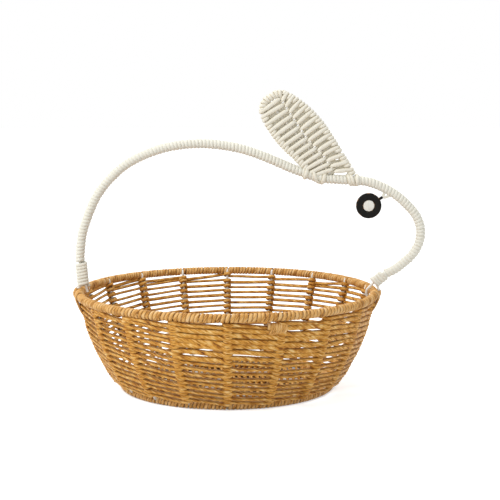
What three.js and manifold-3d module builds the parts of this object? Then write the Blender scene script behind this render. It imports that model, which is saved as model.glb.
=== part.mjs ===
// Round wicker basket on a wire frame, with a tall wrapped handle bent to the outline of a rabbit,
// a woven ear and a flat disc eye. Millimetres, +Z up, +X towards the nose, origin on the floor
// under the middle of the base.
import * as THREE from 'three';
import { mergeVertices } from 'three/addons/utils/BufferGeometryUtils.js';
import Module from 'manifold-3d';

const wasm = await Module();
wasm.setup();

// Basket bowl
const rimRadius = 147;
const baseRadius = 104.6;
const wallHeight = 91.4;
const rimWireRadius = 2;
const rimWrapRadius = 4.3;
const baseWireRadius = 1.6;
const baseWrapRadius = 3.7;
const footFlatDepth = 0.5;
const stakeCount = 18;
const stakeRadius = 1.5;
const rowCount = 15;
const rowHeight = 3.4;
const rowThickness = 3.2;

// Base
const crossWireRadius = 1.3;
const crossWireShares = [-0.66, -0.33, 0, 0.33, 0.66];
const baseStrandPitch = 5.8;
const baseStrandGap = 2.4;
const baseStrandThickness = 2.4;
const baseBandWidth = 3;

// Handle: heights are above the rim's centre, the nose reaches past the rim
const handleHeight = 148.8;
const noseOverhang = 46.75;
const handleWireRadius = 1.3;
const handleWrapRadius = 4.6;
const loopSlack = 1.6;
const loopShift = 0.5;
const legJoinHeight = 8.6;
const legBend = 2.2;
const bindingStart = 11;
const bindingStrandRadius = 1.35;
const bindingPitch = 3.2;
const leftBindingTurns = 5.625;
const rightBindingTurns = 2;
const leftBindingOffset = 3.53;
const rightBindingOffset = 6.4;
const leftEndAngle = THREE.MathUtils.degToRad(95);
const rightEndAngle = THREE.MathUtils.degToRad(38.65);

// Ear, in its own axis from its seat on the handle, between the two bindings, to the tip. The
// seat is a share of the handle's way round, and the lean is from the handle's own direction.
const earSeatShare = 0.656;
const earLean = THREE.MathUtils.degToRad(128.55);
const earSeatRise = 1.12;
const earLength = 101.5;
const earRearWidth = 22.15;
const earFrontWidth = 20.5;
const earStrandThickness = 2.8;
const earWireRadius = 1.4;
const earEdgeBevel = 2.2;
const earBindingTurns = 3.5;
const earBindingStrandRadius = 1.2;
const earBindingPitch = 3;

// Eye, hung from the handle: its seat and lean are given as the ear's are
const eyeSeatShare = 0.776;
const eyeLean = THREE.MathUtils.degToRad(66.98);
const eyeRadius = 12.4;
const eyeCentreRadius = 5.4;
const eyeThickness = 3.6;
const eyePegRadius = 1.5;
const eyePegLength = 3.2;
const eyeTieRadius = 1.3;
const eyeTieLength = 4.9;
const eyeTieSpread = 2.6;

// Clearances
const gap = 0.3;
const windowClearance = 0.4;
const overrun = 1;

const ringZ = baseWrapRadius - footFlatDepth;
const rimZ = ringZ + wallHeight;

// Materials
const finish = (color, roughness, metalness = 0) => ({ color, roughness, metalness });
const twine = finish(0xc79a5b, 0.85);
const coatedWire = finish(0xe8e4da, 0.5, 0.1);
const creamStrand = finish(0xe9e4d6, 0.6);
const blackPaint = finish(0x23211f, 0.6);

const basket = new THREE.Group();
const handle = new THREE.Group();
const model = new THREE.Group();
model.add(basket, handle);

function place(group, name, geometry, look) {
  const mesh = new THREE.Mesh(geometry, new THREE.MeshStandardMaterial(look));
  mesh.name = name;
  group.add(mesh);
  return mesh;
}

const numbered = (stem, index) => `${stem}_${String(index + 1).padStart(2, '0')}`;

// Closed outline of an ellipse, as points across (x) and up (y) the section of a tube
function ellipse(halfAcross, halfUp, sides, turn = 0) {
  return Array.from({ length: sides }, (_, i) => {
    const a = (2 * Math.PI * (i + turn)) / sides;
    return new THREE.Vector2(halfAcross * Math.cos(a), halfUp * Math.sin(a));
  });
}

// Directions along a path at each of its points
function tangents(path, closed) {
  const last = path.length - 1;
  return path.map((point, i) => {
    const before = i > 0 ? path[i - 1] : closed ? path[last] : point;
    const after = i < last ? path[i + 1] : closed ? path[0] : point;
    return new THREE.Vector3().subVectors(after, before).normalize();
  });
}

// Tube of a section along a path, whose section keeps upDirection as near to its up as it can
function sweep(path, section, upDirection, closed = false) {
  const directions = tangents(path, closed);
  const positions = [];
  const across = new THREE.Vector3();
  const up = new THREE.Vector3();
  const point = new THREE.Vector3();
  path.forEach((centre, i) => {
    across.crossVectors(directions[i], upDirection).normalize();
    up.crossVectors(across, directions[i]);
    for (const corner of section) {
      point.copy(centre).addScaledVector(across, corner.x).addScaledVector(up, corner.y);
      positions.push(point.x, point.y, point.z);
    }
  });
  const sides = section.length;
  const index = [];
  const rings = closed ? path.length : path.length - 1;
  for (let i = 0; i < rings; i += 1) {
    const here = i * sides;
    const next = ((i + 1) % path.length) * sides;
    for (let j = 0; j < sides; j += 1) {
      const k = (j + 1) % sides;
      index.push(here + j, next + k, next + j, here + j, here + k, next + k);
    }
  }
  if (!closed) {
    const end = (path.length - 1) * sides;
    for (let j = 1; j < sides - 1; j += 1) {
      index.push(0, j + 1, j, end, end + j, end + j + 1);
    }
  }
  const geometry = new THREE.BufferGeometry();
  geometry.setAttribute('position', new THREE.Float32BufferAttribute(positions, 3));
  geometry.setIndex(index);
  return facingOut(geometry);
}

// Turns every face over if the closed mesh is inside out
function facingOut(geometry) {
  const position = geometry.attributes.position;
  const index = geometry.index.array;
  const [a, b, c] = [new THREE.Vector3(), new THREE.Vector3(), new THREE.Vector3()];
  let volume = 0;
  for (let i = 0; i < index.length; i += 3) {
    a.fromBufferAttribute(position, index[i]);
    b.fromBufferAttribute(position, index[i + 1]);
    c.fromBufferAttribute(position, index[i + 2]);
    volume += a.dot(b.cross(c));
  }
  if (volume < 0) {
    for (let i = 0; i < index.length; i += 3) {
      [index[i + 1], index[i + 2]] = [index[i + 2], index[i + 1]];
    }
  }
  return geometry;
}

function toSolid(geometry) {
  const bare = geometry.clone();
  bare.deleteAttribute('normal');
  bare.deleteAttribute('uv');
  const merged = mergeVertices(bare);
  return new wasm.Manifold(new wasm.Mesh({
    numProp: 3,
    vertProperties: new Float32Array(merged.attributes.position.array),
    triVerts: new Uint32Array(merged.index.array),
  }));
}

function toGeometry(solid) {
  const mesh = solid.getMesh();
  const geometry = new THREE.BufferGeometry();
  geometry.setAttribute('position', new THREE.BufferAttribute(mesh.vertProperties, 3));
  geometry.setIndex(new THREE.BufferAttribute(mesh.triVerts, 1));
  return geometry;
}

// The body that is left of one geometry when others are cut from it
function cut(geometry, ...tools) {
  return toGeometry(tools.reduce((solid, tool) => solid.subtract(toSolid(tool)), toSolid(geometry)));
}

const upZ = new THREE.Vector3(0, 0, 1);
const alongY = new THREE.Vector3(0, 1, 0);

// A ring round the basket's axis, with corners at the given angles
function ringPath(radius, z, corners, turn = 0) {
  return Array.from({ length: corners }, (_, i) => {
    const a = (2 * Math.PI * (i + turn)) / corners;
    return new THREE.Vector3(radius * Math.cos(a), radius * Math.sin(a), z);
  });
}

// Bowl profile: the stakes' centre line, from its seat under the rim wire to its seat on the
// foot wire. Depths are shares of the wall's height below the rim's centre, and reaches are
// shares of the way out from the foot's radius to the rim's.
const bowlDepthShares = [0.07, 0.22, 0.35, 0.48, 0.6, 0.72, 0.82, 0.9, 0.965];
const bowlReachShares = [0.925, 0.825, 0.758, 0.655, 0.547, 0.412, 0.3, 0.18, 0.085];
const stakeTopLean = THREE.MathUtils.degToRad(20);
const stakeFootLean = THREE.MathUtils.degToRad(50);

function bowlPoint(reach, depth) {
  return new THREE.Vector2(baseRadius + (rimRadius - baseRadius) * reach, rimZ - wallHeight * depth);
}

const stakeSeat = rimWireRadius + gap;
const footSeat = baseWireRadius + gap;
const bowlCurve = new THREE.SplineCurve([
  new THREE.Vector2(
    rimRadius - stakeSeat * Math.sin(stakeTopLean),
    rimZ - stakeSeat * Math.cos(stakeTopLean),
  ),
  ...bowlDepthShares.map((depth, i) => bowlPoint(bowlReachShares[i], depth)),
  new THREE.Vector2(
    baseRadius + footSeat * Math.sin(stakeFootLean),
    ringZ + footSeat * Math.cos(stakeFootLean),
  ),
]);
const stakeSteps = 7;
const stakeLine = bowlCurve.getSpacedPoints(stakeSteps);
const stakeAngle = (index) => Math.PI / 2 + (2 * Math.PI * index) / stakeCount;

function stakePath(index, points) {
  const a = stakeAngle(index);
  return points.map((p) => new THREE.Vector3(p.x * Math.cos(a), p.x * Math.sin(a), p.y));
}

// A stake's path with both ends drawn out by the overrun, for the windows it passes through
function windowPath(index) {
  const points = stakeLine.map((p) => p.clone());
  const last = points.length - 1;
  const topWay = points[0].clone().sub(points[1]).normalize();
  const footWay = points[last].clone().sub(points[last - 1]).normalize();
  points[0].addScaledVector(topWay, overrun);
  points[last].addScaledVector(footWay, overrun);
  return stakePath(index, points);
}

// Rim: a wire ring in a hollow wrap with a window for every stake
const rimCorners = 2 * stakeCount;
const rimWireSides = 6;
const stakeSides = 5;
const windowSides = 4;
const wrapSides = 8;
place(basket, 'rim_wire', sweep(
  ringPath(rimRadius, rimZ, rimCorners),
  ellipse(rimWireRadius, rimWireRadius, rimWireSides),
  upZ,
  true,
), coatedWire);

const stakeTube = (path, section) => sweep(path, section, squareTo(path));

// A direction square to the plane of a stake, so that its section doesn't twist
function squareTo(path) {
  const a = Math.atan2(path[0].y, path[0].x);
  return new THREE.Vector3(-Math.sin(a), Math.cos(a), 0);
}

// Section of a square window round a wire
function windowSection(wireRadius) {
  const cornerRadius = (wireRadius + windowClearance) / Math.cos(Math.PI / windowSides);
  return ellipse(cornerRadius, cornerRadius, windowSides, 0.5);
}

const windows = Array.from({ length: stakeCount }, (_, i) => (
  stakeTube(windowPath(i), windowSection(stakeRadius))
));
const rimBore = sweep(
  ringPath(rimRadius, rimZ, rimCorners),
  ellipse(rimWireRadius + gap, rimWireRadius + gap, rimWireSides),
  upZ,
  true,
);
place(basket, 'rim_wrap', cut(
  sweep(ringPath(rimRadius, rimZ, rimCorners), ellipse(rimWrapRadius, rimWrapRadius, wrapSides), upZ, true),
  rimBore,
  ...windows,
), twine);

// Stakes
const stakeSection = ellipse(stakeRadius, stakeRadius, stakeSides);
for (let i = 0; i < stakeCount; i += 1) {
  place(basket, numbered('stake', i), stakeTube(stakePath(i, stakeLine), stakeSection), coatedWire);
}

// Rows of the wall, one round the outside of the stakes at each height. The first clears the
// handle's loops, and the last clears the foot.
const loopRadius = rimWrapRadius + handleWireRadius + loopSlack;
const loopTop = rimWrapRadius + gap + handleWireRadius;
const loopCentreZ = rimZ + loopTop - loopRadius;
const firstRowZ = loopCentreZ - loopRadius - handleWireRadius - gap - rowHeight / 2;
const lastRowZ = ringZ + baseWrapRadius + gap + rowHeight / 2;
const rowOffset = stakeRadius + gap + rowThickness / 2;

function bowlShareAt(z) {
  let [low, high] = [0, 1];
  const halvings = 30;
  for (let i = 0; i < halvings; i += 1) {
    const middle = (low + high) / 2;
    if (rowPointAt(middle).y > z) low = middle;
    else high = middle;
  }
  return low;
}

// The point of the rows' own profile, outside the stakes, at a share of the bowl curve
function rowPointAt(share) {
  const point = bowlCurve.getPointAt(share);
  const way = bowlCurve.getTangentAt(share);
  return point.add(new THREE.Vector2(-way.y, way.x).multiplyScalar(rowOffset));
}

const firstRowShare = bowlShareAt(firstRowZ);
const lastRowShare = bowlShareAt(lastRowZ);
const rowSides = 5;
for (let i = 0; i < rowCount; i += 1) {
  const share = firstRowShare + ((lastRowShare - firstRowShare) * i) / (rowCount - 1);
  const row = rowPointAt(share);
  place(basket, numbered('wall_row', i), sweep(
    ringPath(row.x, row.y, stakeCount, stakeCount / 4),
    ellipse(rowThickness / 2, rowHeight / 2, rowSides, 0.5),
    upZ,
    true,
  ), twine);
}

// Foot: a wire ring in a hollow wrap, cut flat where it stands
const footCorners = 2 * stakeCount;
place(basket, 'base_ring_wire', sweep(
  ringPath(baseRadius, ringZ, footCorners),
  ellipse(baseWireRadius, baseWireRadius, rimWireSides),
  upZ,
  true,
), coatedWire);

const crossWireZ = baseStrandThickness + gap + crossWireRadius;
const crossSides = 6;

function crossWire(y, section, reach) {
  const half = Math.sqrt(reach * reach - y * y);
  const path = [new THREE.Vector3(-half, y, crossWireZ), new THREE.Vector3(half, y, crossWireZ)];
  return sweep(path, section, upZ);
}

const crossReach = baseRadius - baseWireRadius - gap - crossWireRadius / 2;
const crossWires = crossWireShares.map((share) => share * baseRadius);
const floorCut = new THREE.BoxGeometry(2 * rimRadius, 2 * rimRadius, rimRadius);
floorCut.translate(0, 0, -rimRadius / 2);
place(basket, 'base_ring_wrap', cut(
  sweep(
    ringPath(baseRadius, ringZ, footCorners),
    ellipse(baseWrapRadius, baseWrapRadius, wrapSides, 0.5),
    upZ,
    true,
  ),
  sweep(
    ringPath(baseRadius, ringZ, footCorners),
    ellipse(baseWireRadius + gap, baseWireRadius + gap, rimWireSides),
    upZ,
    true,
  ),
  floorCut,
  ...windows,
  ...crossWires.map((y) => crossWire(y, windowSection(crossWireRadius), crossReach)),
), twine);

const crossSection = ellipse(crossWireRadius, crossWireRadius, crossSides);
crossWires.forEach((y, i) => {
  place(basket, numbered('base_wire', i), crossWire(y, crossSection, crossReach), coatedWire);
});

// Base strands: parallel strips joined by a band inside the foot
const baseWeaveRadius = baseRadius - baseWrapRadius - gap;
const baseWeaveCorners = 2 * stakeCount;

function baseWeave() {
  const thickness = baseStrandThickness;
  const disc = new THREE.CylinderGeometry(baseWeaveRadius, baseWeaveRadius, thickness, baseWeaveCorners);
  disc.rotateX(Math.PI / 2);
  disc.translate(0, 0, thickness / 2);
  const inner = baseWeaveRadius - baseBandWidth;
  const slotCount = 2 * Math.floor(inner / baseStrandPitch);
  const slots = Array.from({ length: slotCount }, (_, i) => {
    const x = (i - (slotCount - 1) / 2) * baseStrandPitch;
    const widest = Math.abs(x) + baseStrandGap / 2;
    const slot = new THREE.BoxGeometry(
      baseStrandGap,
      2 * Math.sqrt(inner * inner - widest * widest),
      2 * (thickness + overrun),
    );
    return slot.translate(x, 0, 0);
  });
  return cut(disc, ...slots);
}

place(basket, 'base_weave', baseWeave(), twine);

// Handle outline, in the plane y = 0: across is a share of the rim's radius, over a share of
// the nose's overhang past the rim, and up a share of the handle's height above the rim
const handleShares = [
  { across: -1, over: 0, up: 0.2628 },
  { across: -0.9922, over: 0, up: 0.3434 },
  { across: -0.9769, over: 0, up: 0.4227 },
  { across: -0.8857, over: 0, up: 0.6445 },
  { across: -0.7857, over: 0, up: 0.7722 },
  { across: -0.6592, over: 0, up: 0.875 },
  { across: -0.4337, over: 0, up: 0.9684 },
  { across: -0.1912, over: 0, up: 1 },
  { across: 0.0514, over: 0, up: 0.9751 },
  { across: 0.2075, over: 0, up: 0.9288 },
  { across: 0.3595, over: 0, up: 0.8676 },
  { across: 0.434, over: 0, up: 0.8354 },
  { across: 0.5122, over: 0, up: 0.8065 },
  { across: 0.6259, over: 0, up: 0.7702 },
  { across: 0.7497, over: 0, up: 0.7594 },
  { across: 0.9129, over: 0, up: 0.75 },
  { across: 0.9932, over: 0, up: 0.7319 },
  { across: 1, over: 0.43, up: 0.6599 },
  { across: 1, over: 0.8, up: 0.5538 },
  { across: 1, over: 0.939, up: 0.4872 },
  { across: 1, over: 1, up: 0.4086 },
  { across: 1, over: 0.9626, up: 0.3273 },
  { across: 1, over: 0.8374, up: 0.2544 },
  { across: 1, over: 0.646, up: 0.1969 },
  { across: 1, over: 0.4278, up: 0.1452 },
];

function handlePoint({ across, over, up }) {
  return new THREE.Vector3(
    across * rimRadius + over * noseOverhang,
    0,
    rimZ + up * handleHeight,
  );
}

// Points of a rounded corner, each of whose sides is taken back by the same length
function corner(before, at, after, back) {
  const start = at.clone().addScaledVector(before.clone().sub(at).normalize(), back);
  const end = at.clone().addScaledVector(after.clone().sub(at).normalize(), back);
  const bendSteps = 3;
  return new THREE.QuadraticBezierCurve3(start, at, end).getPoints(bendSteps);
}

// One end of the handle's wire: its shank, and the loop round the rim whose tail comes back
// up beside the shank. u runs along the shank from the loop's centre, v to the inner side.
const legSpacing = 2 * handleWireRadius + gap;
const loopSteps = 18;

function handleEnd(side, angle, offset, turns) {
  const centre = new THREE.Vector3(side * (rimRadius - loopShift), 0, loopCentreZ);
  const u = new THREE.Vector3(Math.cos(angle), 0, Math.sin(angle));
  const v = new THREE.Vector3(-side * Math.sin(angle), 0, side * Math.cos(angle));
  const at = (along, inward) => centre.clone().addScaledVector(u, along).addScaledVector(v, inward);
  const shank = offset + (side * legSpacing) / 2;
  const tail = offset - (side * legSpacing) / 2;
  const bindingTop = bindingStart + turns * bindingPitch + 2 * bindingStrandRadius;
  const top = bindingTop + gap;
  // Where the straight run from a lane's join to the loop touches the loop
  const touch = (lane, way) => (
    Math.atan2(lane, legJoinHeight) + way * Math.acos(loopRadius / Math.hypot(lane, legJoinHeight))
  );
  const start = touch(shank, side);
  const turn = touch(tail, -side) - start + side * 2 * Math.PI;
  const loop = Array.from({ length: loopSteps + 1 }, (_, i) => {
    const a = start + (turn * i) / loopSteps;
    return at(loopRadius * Math.cos(a), loopRadius * Math.sin(a));
  });
  const points = [
    at(top, shank),
    ...corner(at(top, shank), at(legJoinHeight, shank), loop[0], legBend),
    ...loop,
    ...corner(loop[loopSteps], at(legJoinHeight, tail), at(top, tail), legBend),
    at(bindingTop - legSpacing, tail),
  ];
  return { at, shank, offset, top, points };
}

const leftEnd = handleEnd(-1, leftEndAngle, leftBindingOffset, leftBindingTurns);
const rightEnd = handleEnd(1, rightEndAngle, rightBindingOffset, rightBindingTurns);

// Samples a smooth curve through points at a step that suits its bends
function smooth(points, step) {
  const curve = new THREE.CatmullRomCurve3(points, false, 'centripetal');
  return curve.getSpacedPoints(Math.max(2, Math.round(curve.getLength() / step)));
}

const archStep = handleWrapRadius * 2.6;
const wireSides = 6;
const arch = smooth([
  leftEnd.at(leftEnd.top, leftEnd.shank),
  ...handleShares.map(handlePoint),
  rightEnd.at(rightEnd.top, rightEnd.shank),
], archStep);

// A seat on the handle's middle line at a share of the way round: its point, the handle's
// direction there, and the direction turned from it in the handle's plane by a lean
function archSeat(share, lean) {
  const whole = share * (arch.length - 1);
  const before = Math.min(Math.floor(whole), arch.length - 2);
  const point = arch[before].clone().lerp(arch[before + 1], whole - before);
  const nearest = Math.min(Math.max(Math.round(whole), 1), arch.length - 2);
  const way = arch[nearest + 1].clone().sub(arch[nearest - 1]).normalize();
  const out = way.clone().applyAxisAngle(alongY, -lean);
  return { point, way, out };
}
place(handle, 'handle_wire', sweep(
  [...leftEnd.points.toReversed(), ...arch.slice(1, -1), ...rightEnd.points],
  ellipse(handleWireRadius, handleWireRadius, wireSides),
  alongY,
), coatedWire);

// Winding along the handle, hollow for the wire and open at both ends
const archFirst = arch[0].clone().sub(arch[1]).normalize();
const archLast = arch[arch.length - 1].clone().sub(arch[arch.length - 2]).normalize();
const archBore = [
  arch[0].clone().addScaledVector(archFirst, overrun),
  ...arch,
  arch[arch.length - 1].clone().addScaledVector(archLast, overrun),
];
const handleBoreSides = 6;
place(handle, 'handle_wrap', cut(
  sweep(arch, ellipse(handleWrapRadius, handleWrapRadius, wrapSides), alongY),
  sweep(archBore, ellipse(handleWireRadius + gap, handleWireRadius + gap, handleBoreSides), alongY),
), creamStrand);

// A lashing: one strand wound round an oval core, with straight ends. from is the middle of
// its first turn, way the direction it climbs, and across the core's wider direction.
function winding({ from, way, across, halfAcross, halfDeep, turns, pitch, radius }) {
  const stepsPerTurn = 16;
  const sides = 5;
  const deep = new THREE.Vector3().crossVectors(way, across);
  const steps = Math.round(turns * stepsPerTurn);
  const path = Array.from({ length: steps + 1 }, (_, i) => {
    const a = (2 * Math.PI * i) / stepsPerTurn;
    return from.clone()
      .addScaledVector(across, halfAcross * Math.cos(a))
      .addScaledVector(deep, halfDeep * Math.sin(a))
      .addScaledVector(way, (pitch * i) / stepsPerTurn);
  });
  const headWay = path[0].clone().sub(path[1]).normalize();
  const tailWay = path[steps].clone().sub(path[steps - 1]).normalize();
  path.unshift(path[0].clone().addScaledVector(headWay, 2 * radius));
  path.push(path[steps + 1].clone().addScaledVector(tailWay, 2 * radius));
  return { path, geometry: sweep(path, ellipse(radius, radius, sides), way), stepsPerTurn, radius };
}

// The least distance between neighbouring turns of a winding, from surface to surface
function leastGap({ path, stepsPerTurn, radius }) {
  let least = Infinity;
  path.forEach((point, i) => {
    for (let j = i + Math.round(stepsPerTurn / 2); j < path.length; j += 1) {
      least = Math.min(least, point.distanceTo(path[j]) - 2 * radius);
    }
  });
  return least;
}

function lash(name, settings) {
  const wound = winding(settings);
  console.log(`${name}: least gap to itself ${leastGap(wound).toFixed(2)} mm`);
  place(handle, name, wound.geometry, creamStrand);
}

function endBinding(name, end, turns) {
  const from = end.at(bindingStart + bindingStrandRadius, end.offset);
  const way = end.at(1, 0).sub(end.at(0, 0));
  const across = end.at(0, 1).sub(end.at(0, 0));
  lash(name, {
    from,
    way,
    across,
    halfAcross: legSpacing / 2 + handleWireRadius + gap + bindingStrandRadius,
    halfDeep: handleWireRadius + gap + bindingStrandRadius,
    turns,
    pitch: bindingPitch,
    radius: bindingStrandRadius,
  });
}

endBinding('handle_binding_left', leftEnd, leftBindingTurns);
endBinding('handle_binding_right', rightEnd, rightBindingTurns);

// Ear: the middle line of its wire. along is a share of its length from the foot, and out a
// share of its half width on the rear side (minus, towards the back) or the front side.
const earShares = [
  [0.08, -0.61], [0.24, -0.718], [0.39, -0.817], [0.54, -0.953], [0.71, -1], [0.85, -0.941],
  [0.945, -0.808], [0.999, -0.508], [1, -0.2], [0.996, 0.051], [0.97, 0.273], [0.919, 0.463],
  [0.832, 0.668], [0.672, 0.893], [0.51, 0.99], [0.416, 0.998], [0.33, 0.985], [0.15, 0.924],
  [0.01, 0.888], [-0.1, 0.839],
];
const earSeatOnArch = archSeat(earSeatShare, earLean);
const earUp = earSeatOnArch.out;
const earFront = new THREE.Vector3().crossVectors(alongY, earUp);
const earRise = new THREE.Vector3().crossVectors(earSeatOnArch.way, alongY).multiplyScalar(earSeatRise);
const earFoot = earSeatOnArch.point.clone().add(earRise);

function earPoint([along, out]) {
  const halfWidth = out < 0 ? earRearWidth : earFrontWidth;
  return earFoot.clone()
    .addScaledVector(earUp, along * earLength)
    .addScaledVector(earFront, out * halfWidth);
}

// What the ear and the eye's tie must stay clear of: a tube round the middle line of the handle
// whose flats, not its corners, lie at the radius
function archTube(radius) {
  const cornerRadius = radius / Math.cos(Math.PI / wrapSides);
  return sweep(arch, ellipse(cornerRadius, cornerRadius, wrapSides), alongY);
}

const lashRadius = handleWrapRadius + gap + gap + 2 * earBindingStrandRadius;
const earSeat = archTube(lashRadius + gap);
const earLine = smooth(earShares.map(earPoint), earWireRadius * 4);
const earWire = (path, radius) => sweep(path, ellipse(radius, radius, wireSides), alongY);
const earBoreRadius = earWireRadius + gap;
place(handle, 'ear_frame', cut(earWire(earLine, earWireRadius), earSeat), coatedWire);

// The middle wire, from the handle up to just under the tip of the frame
const earTipPoint = earPoint(earShares.reduce((best, share) => (share[0] > best[0] ? share : best)));
const spineWay = earTipPoint.clone().sub(earFoot).normalize();
const spineTop = earTipPoint.clone().addScaledVector(spineWay, -2 * earWireRadius - gap);
const spine = [earFoot, spineTop];
place(handle, 'ear_spine', cut(earWire(spine, earWireRadius), earSeat), coatedWire);

// The woven ear: a plate over both wires, bored for them, and open at its foot
function earPlate() {
  const wayIn = tangents(earLine, false);
  const reach = earWireRadius + earStrandThickness - earEdgeBevel;
  const outline = earLine.map((point, i) => {
    const outward = new THREE.Vector3().crossVectors(wayIn[i], alongY);
    const edge = point.clone().addScaledVector(outward, -reach);
    return new THREE.Vector2(edge.x, edge.z);
  });
  const depth = 2 * (earWireRadius + earStrandThickness - earEdgeBevel);
  const plate = new THREE.ExtrudeGeometry(new THREE.Shape(outline), {
    depth,
    bevelThickness: earEdgeBevel,
    bevelSize: earEdgeBevel,
    bevelSegments: 1,
  });
  plate.translate(0, 0, -depth / 2);
  plate.rotateX(Math.PI / 2);
  return plate;
}

const spineBore = [spine[0], spineTop.clone().addScaledVector(spineWay, overrun)];
place(handle, 'ear_weave', cut(
  earPlate(),
  earWire(earLine, earBoreRadius),
  earWire(spineBore, earBoreRadius),
  earSeat,
), creamStrand);

// Lashings at the ear's two feet, round the wrapped handle
function earBinding(name, share) {
  const foot = earPoint(share);
  const nearest = arch.reduce((best, p, i) => (
    p.distanceTo(foot) < arch[best].distanceTo(foot) ? i : best
  ), 1);
  const way = arch[nearest + 1].clone().sub(arch[nearest - 1]).normalize();
  const middle = arch[nearest].clone().addScaledVector(way, foot.clone().sub(arch[nearest]).dot(way));
  const half = (earBindingTurns * earBindingPitch) / 2;
  const reach = handleWrapRadius + gap + gap + earBindingStrandRadius;
  lash(name, {
    from: middle.addScaledVector(way, -half),
    way,
    across: new THREE.Vector3().crossVectors(alongY, way),
    halfAcross: reach,
    halfDeep: reach,
    turns: earBindingTurns,
    pitch: earBindingPitch,
    radius: earBindingStrandRadius,
  });
}

earBinding('ear_binding_rear', earShares[0]);
earBinding('ear_binding_front', earShares[earShares.length - 1]);

// Eye: a black disc with a cream middle, facing along Y
const eyeSeat = archSeat(eyeSeatShare, eyeLean);
const pegWay = eyeSeat.out;
const pegStart = eyeRadius + gap;
const pegEnd = pegStart + eyePegLength;
const eyeReach = pegEnd + gap + eyeTieLength + gap + handleWrapRadius;
const eyePlace = eyeSeat.point.clone().addScaledVector(pegWay, -eyeReach);
const eyeSides = 32;

function disc(inner, outer) {
  const half = eyeThickness / 2;
  const geometry = new THREE.LatheGeometry([
    new THREE.Vector2(inner, -half),
    new THREE.Vector2(outer, -half),
    new THREE.Vector2(outer, half),
    new THREE.Vector2(inner, half),
    new THREE.Vector2(inner, -half),
  ], eyeSides);
  return geometry;
}

place(handle, 'eye_ring', disc(eyeCentreRadius + gap, eyeRadius), blackPaint)
  .position.copy(eyePlace);
const eyeCentre = new THREE.CylinderGeometry(eyeCentreRadius, eyeCentreRadius, eyeThickness, eyeSides);
place(handle, 'eye_centre', eyeCentre, creamStrand).position.copy(eyePlace);

// The peg on the disc's edge, and the strand that ties it to the handle: two legs that meet
// in a bend just past the end of the peg
const along = (distance) => eyePlace.clone().addScaledVector(pegWay, distance);
const pegSection = ellipse(eyePegRadius, eyePegRadius, wrapSides);
place(handle, 'eye_peg', sweep([along(pegStart), along(pegEnd)], pegSection, alongY), blackPaint);

const tieBendSteps = 4;
const tieBendRadius = eyeTieRadius + gap;
const tieBendCentre = along(pegEnd + gap + eyeTieRadius + tieBendRadius);
const tieSide = new THREE.Vector3().crossVectors(alongY, pegWay);

// A leg of the tie, from the end of the bend to just off the wound handle
function tieLegEnd(side) {
  const from = tieBendCentre.clone().addScaledVector(tieSide, side * tieBendRadius);
  const target = eyeSeat.point.clone().addScaledVector(eyeSeat.way, side * eyeTieSpread);
  const way = target.clone().sub(from).normalize();
  const lean = way.dot(eyeSeat.way);
  const clear = handleWrapRadius + gap + gap + eyeTieRadius * Math.abs(lean);
  return target.addScaledVector(way, -clear / Math.sqrt(1 - lean * lean));
}

const tieBend = Array.from({ length: tieBendSteps + 1 }, (_, i) => {
  const a = (Math.PI * i) / tieBendSteps;
  return tieBendCentre.clone()
    .addScaledVector(tieSide, tieBendRadius * Math.cos(a))
    .addScaledVector(pegWay, -tieBendRadius * Math.sin(a));
});
place(handle, 'eye_tie', sweep(
  [tieLegEnd(1), ...tieBend, tieLegEnd(-1)],
  ellipse(eyeTieRadius, eyeTieRadius, wireSides),
  alongY,
), creamStrand);

export default model;
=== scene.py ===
"""Wicker easter basket: its twine, wire, wound handle, woven ear and disc eye round the CAD frame.

Lengths are millimetres until a mesh is made, and metres in the scene.
"""

import logging
import math
from dataclasses import dataclass, field
from enum import Enum
from random import Random

import bmesh
import bpy
import numpy as np
from bpy.types import Material, Mesh, Node, NodeSocket, NodeTree, Object, Scene
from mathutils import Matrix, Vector


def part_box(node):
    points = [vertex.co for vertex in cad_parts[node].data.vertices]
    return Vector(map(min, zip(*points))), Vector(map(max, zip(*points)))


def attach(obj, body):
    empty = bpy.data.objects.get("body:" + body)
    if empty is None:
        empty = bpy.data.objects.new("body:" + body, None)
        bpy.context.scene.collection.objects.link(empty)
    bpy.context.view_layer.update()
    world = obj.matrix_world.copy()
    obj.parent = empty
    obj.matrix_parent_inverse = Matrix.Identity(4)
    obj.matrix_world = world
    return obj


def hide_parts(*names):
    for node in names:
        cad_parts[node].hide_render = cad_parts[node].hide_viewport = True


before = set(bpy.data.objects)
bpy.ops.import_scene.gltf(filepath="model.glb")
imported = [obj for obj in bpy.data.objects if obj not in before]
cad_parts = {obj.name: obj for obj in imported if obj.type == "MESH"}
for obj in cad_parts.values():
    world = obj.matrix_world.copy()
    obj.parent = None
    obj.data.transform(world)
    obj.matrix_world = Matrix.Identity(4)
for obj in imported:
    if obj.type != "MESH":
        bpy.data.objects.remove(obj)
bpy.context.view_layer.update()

log = logging.getLogger("basket")

MM = 0.001
FULL_TURN = 2 * math.pi
UP = np.array([0.0, 0.0, 1.0])
BACK = np.array([0.0, 1.0, 0.0])

# A point or direction, or several, one a row
Array = np.ndarray
# Pairs of numbers, such as angles and what holds there
Pairs = tuple[tuple[float, float], ...]

# A strand's pattern starts at a random way along, up to this many millimetres
PATTERN_LENGTH = 900
# Units of noise across the width of one fibre
PATCH = 1.2
# Noise stays near its middle, and this brings it out to a share of about 1
NOISE_GAIN = 2.4
# How far a stretch of the wall's strand departs from straight: up and down, to and fro, and out and
# in, as shares of its unruliness; and by how much the share of its spread does
SAG, SWING, BOW, LOOSENED = (-0.8, 0.6), (-0.4, 0.4), (-0.3, 0.5), (-0.13, 0.13)
# The Mix node's sockets for colours
MIX_FIRST, MIX_SECOND, MIX_RESULT = 6, 7, 2


class Body(Enum):
    """The two bodies of the basket."""

    BASKET = "basket"
    HANDLE = "handle"


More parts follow.
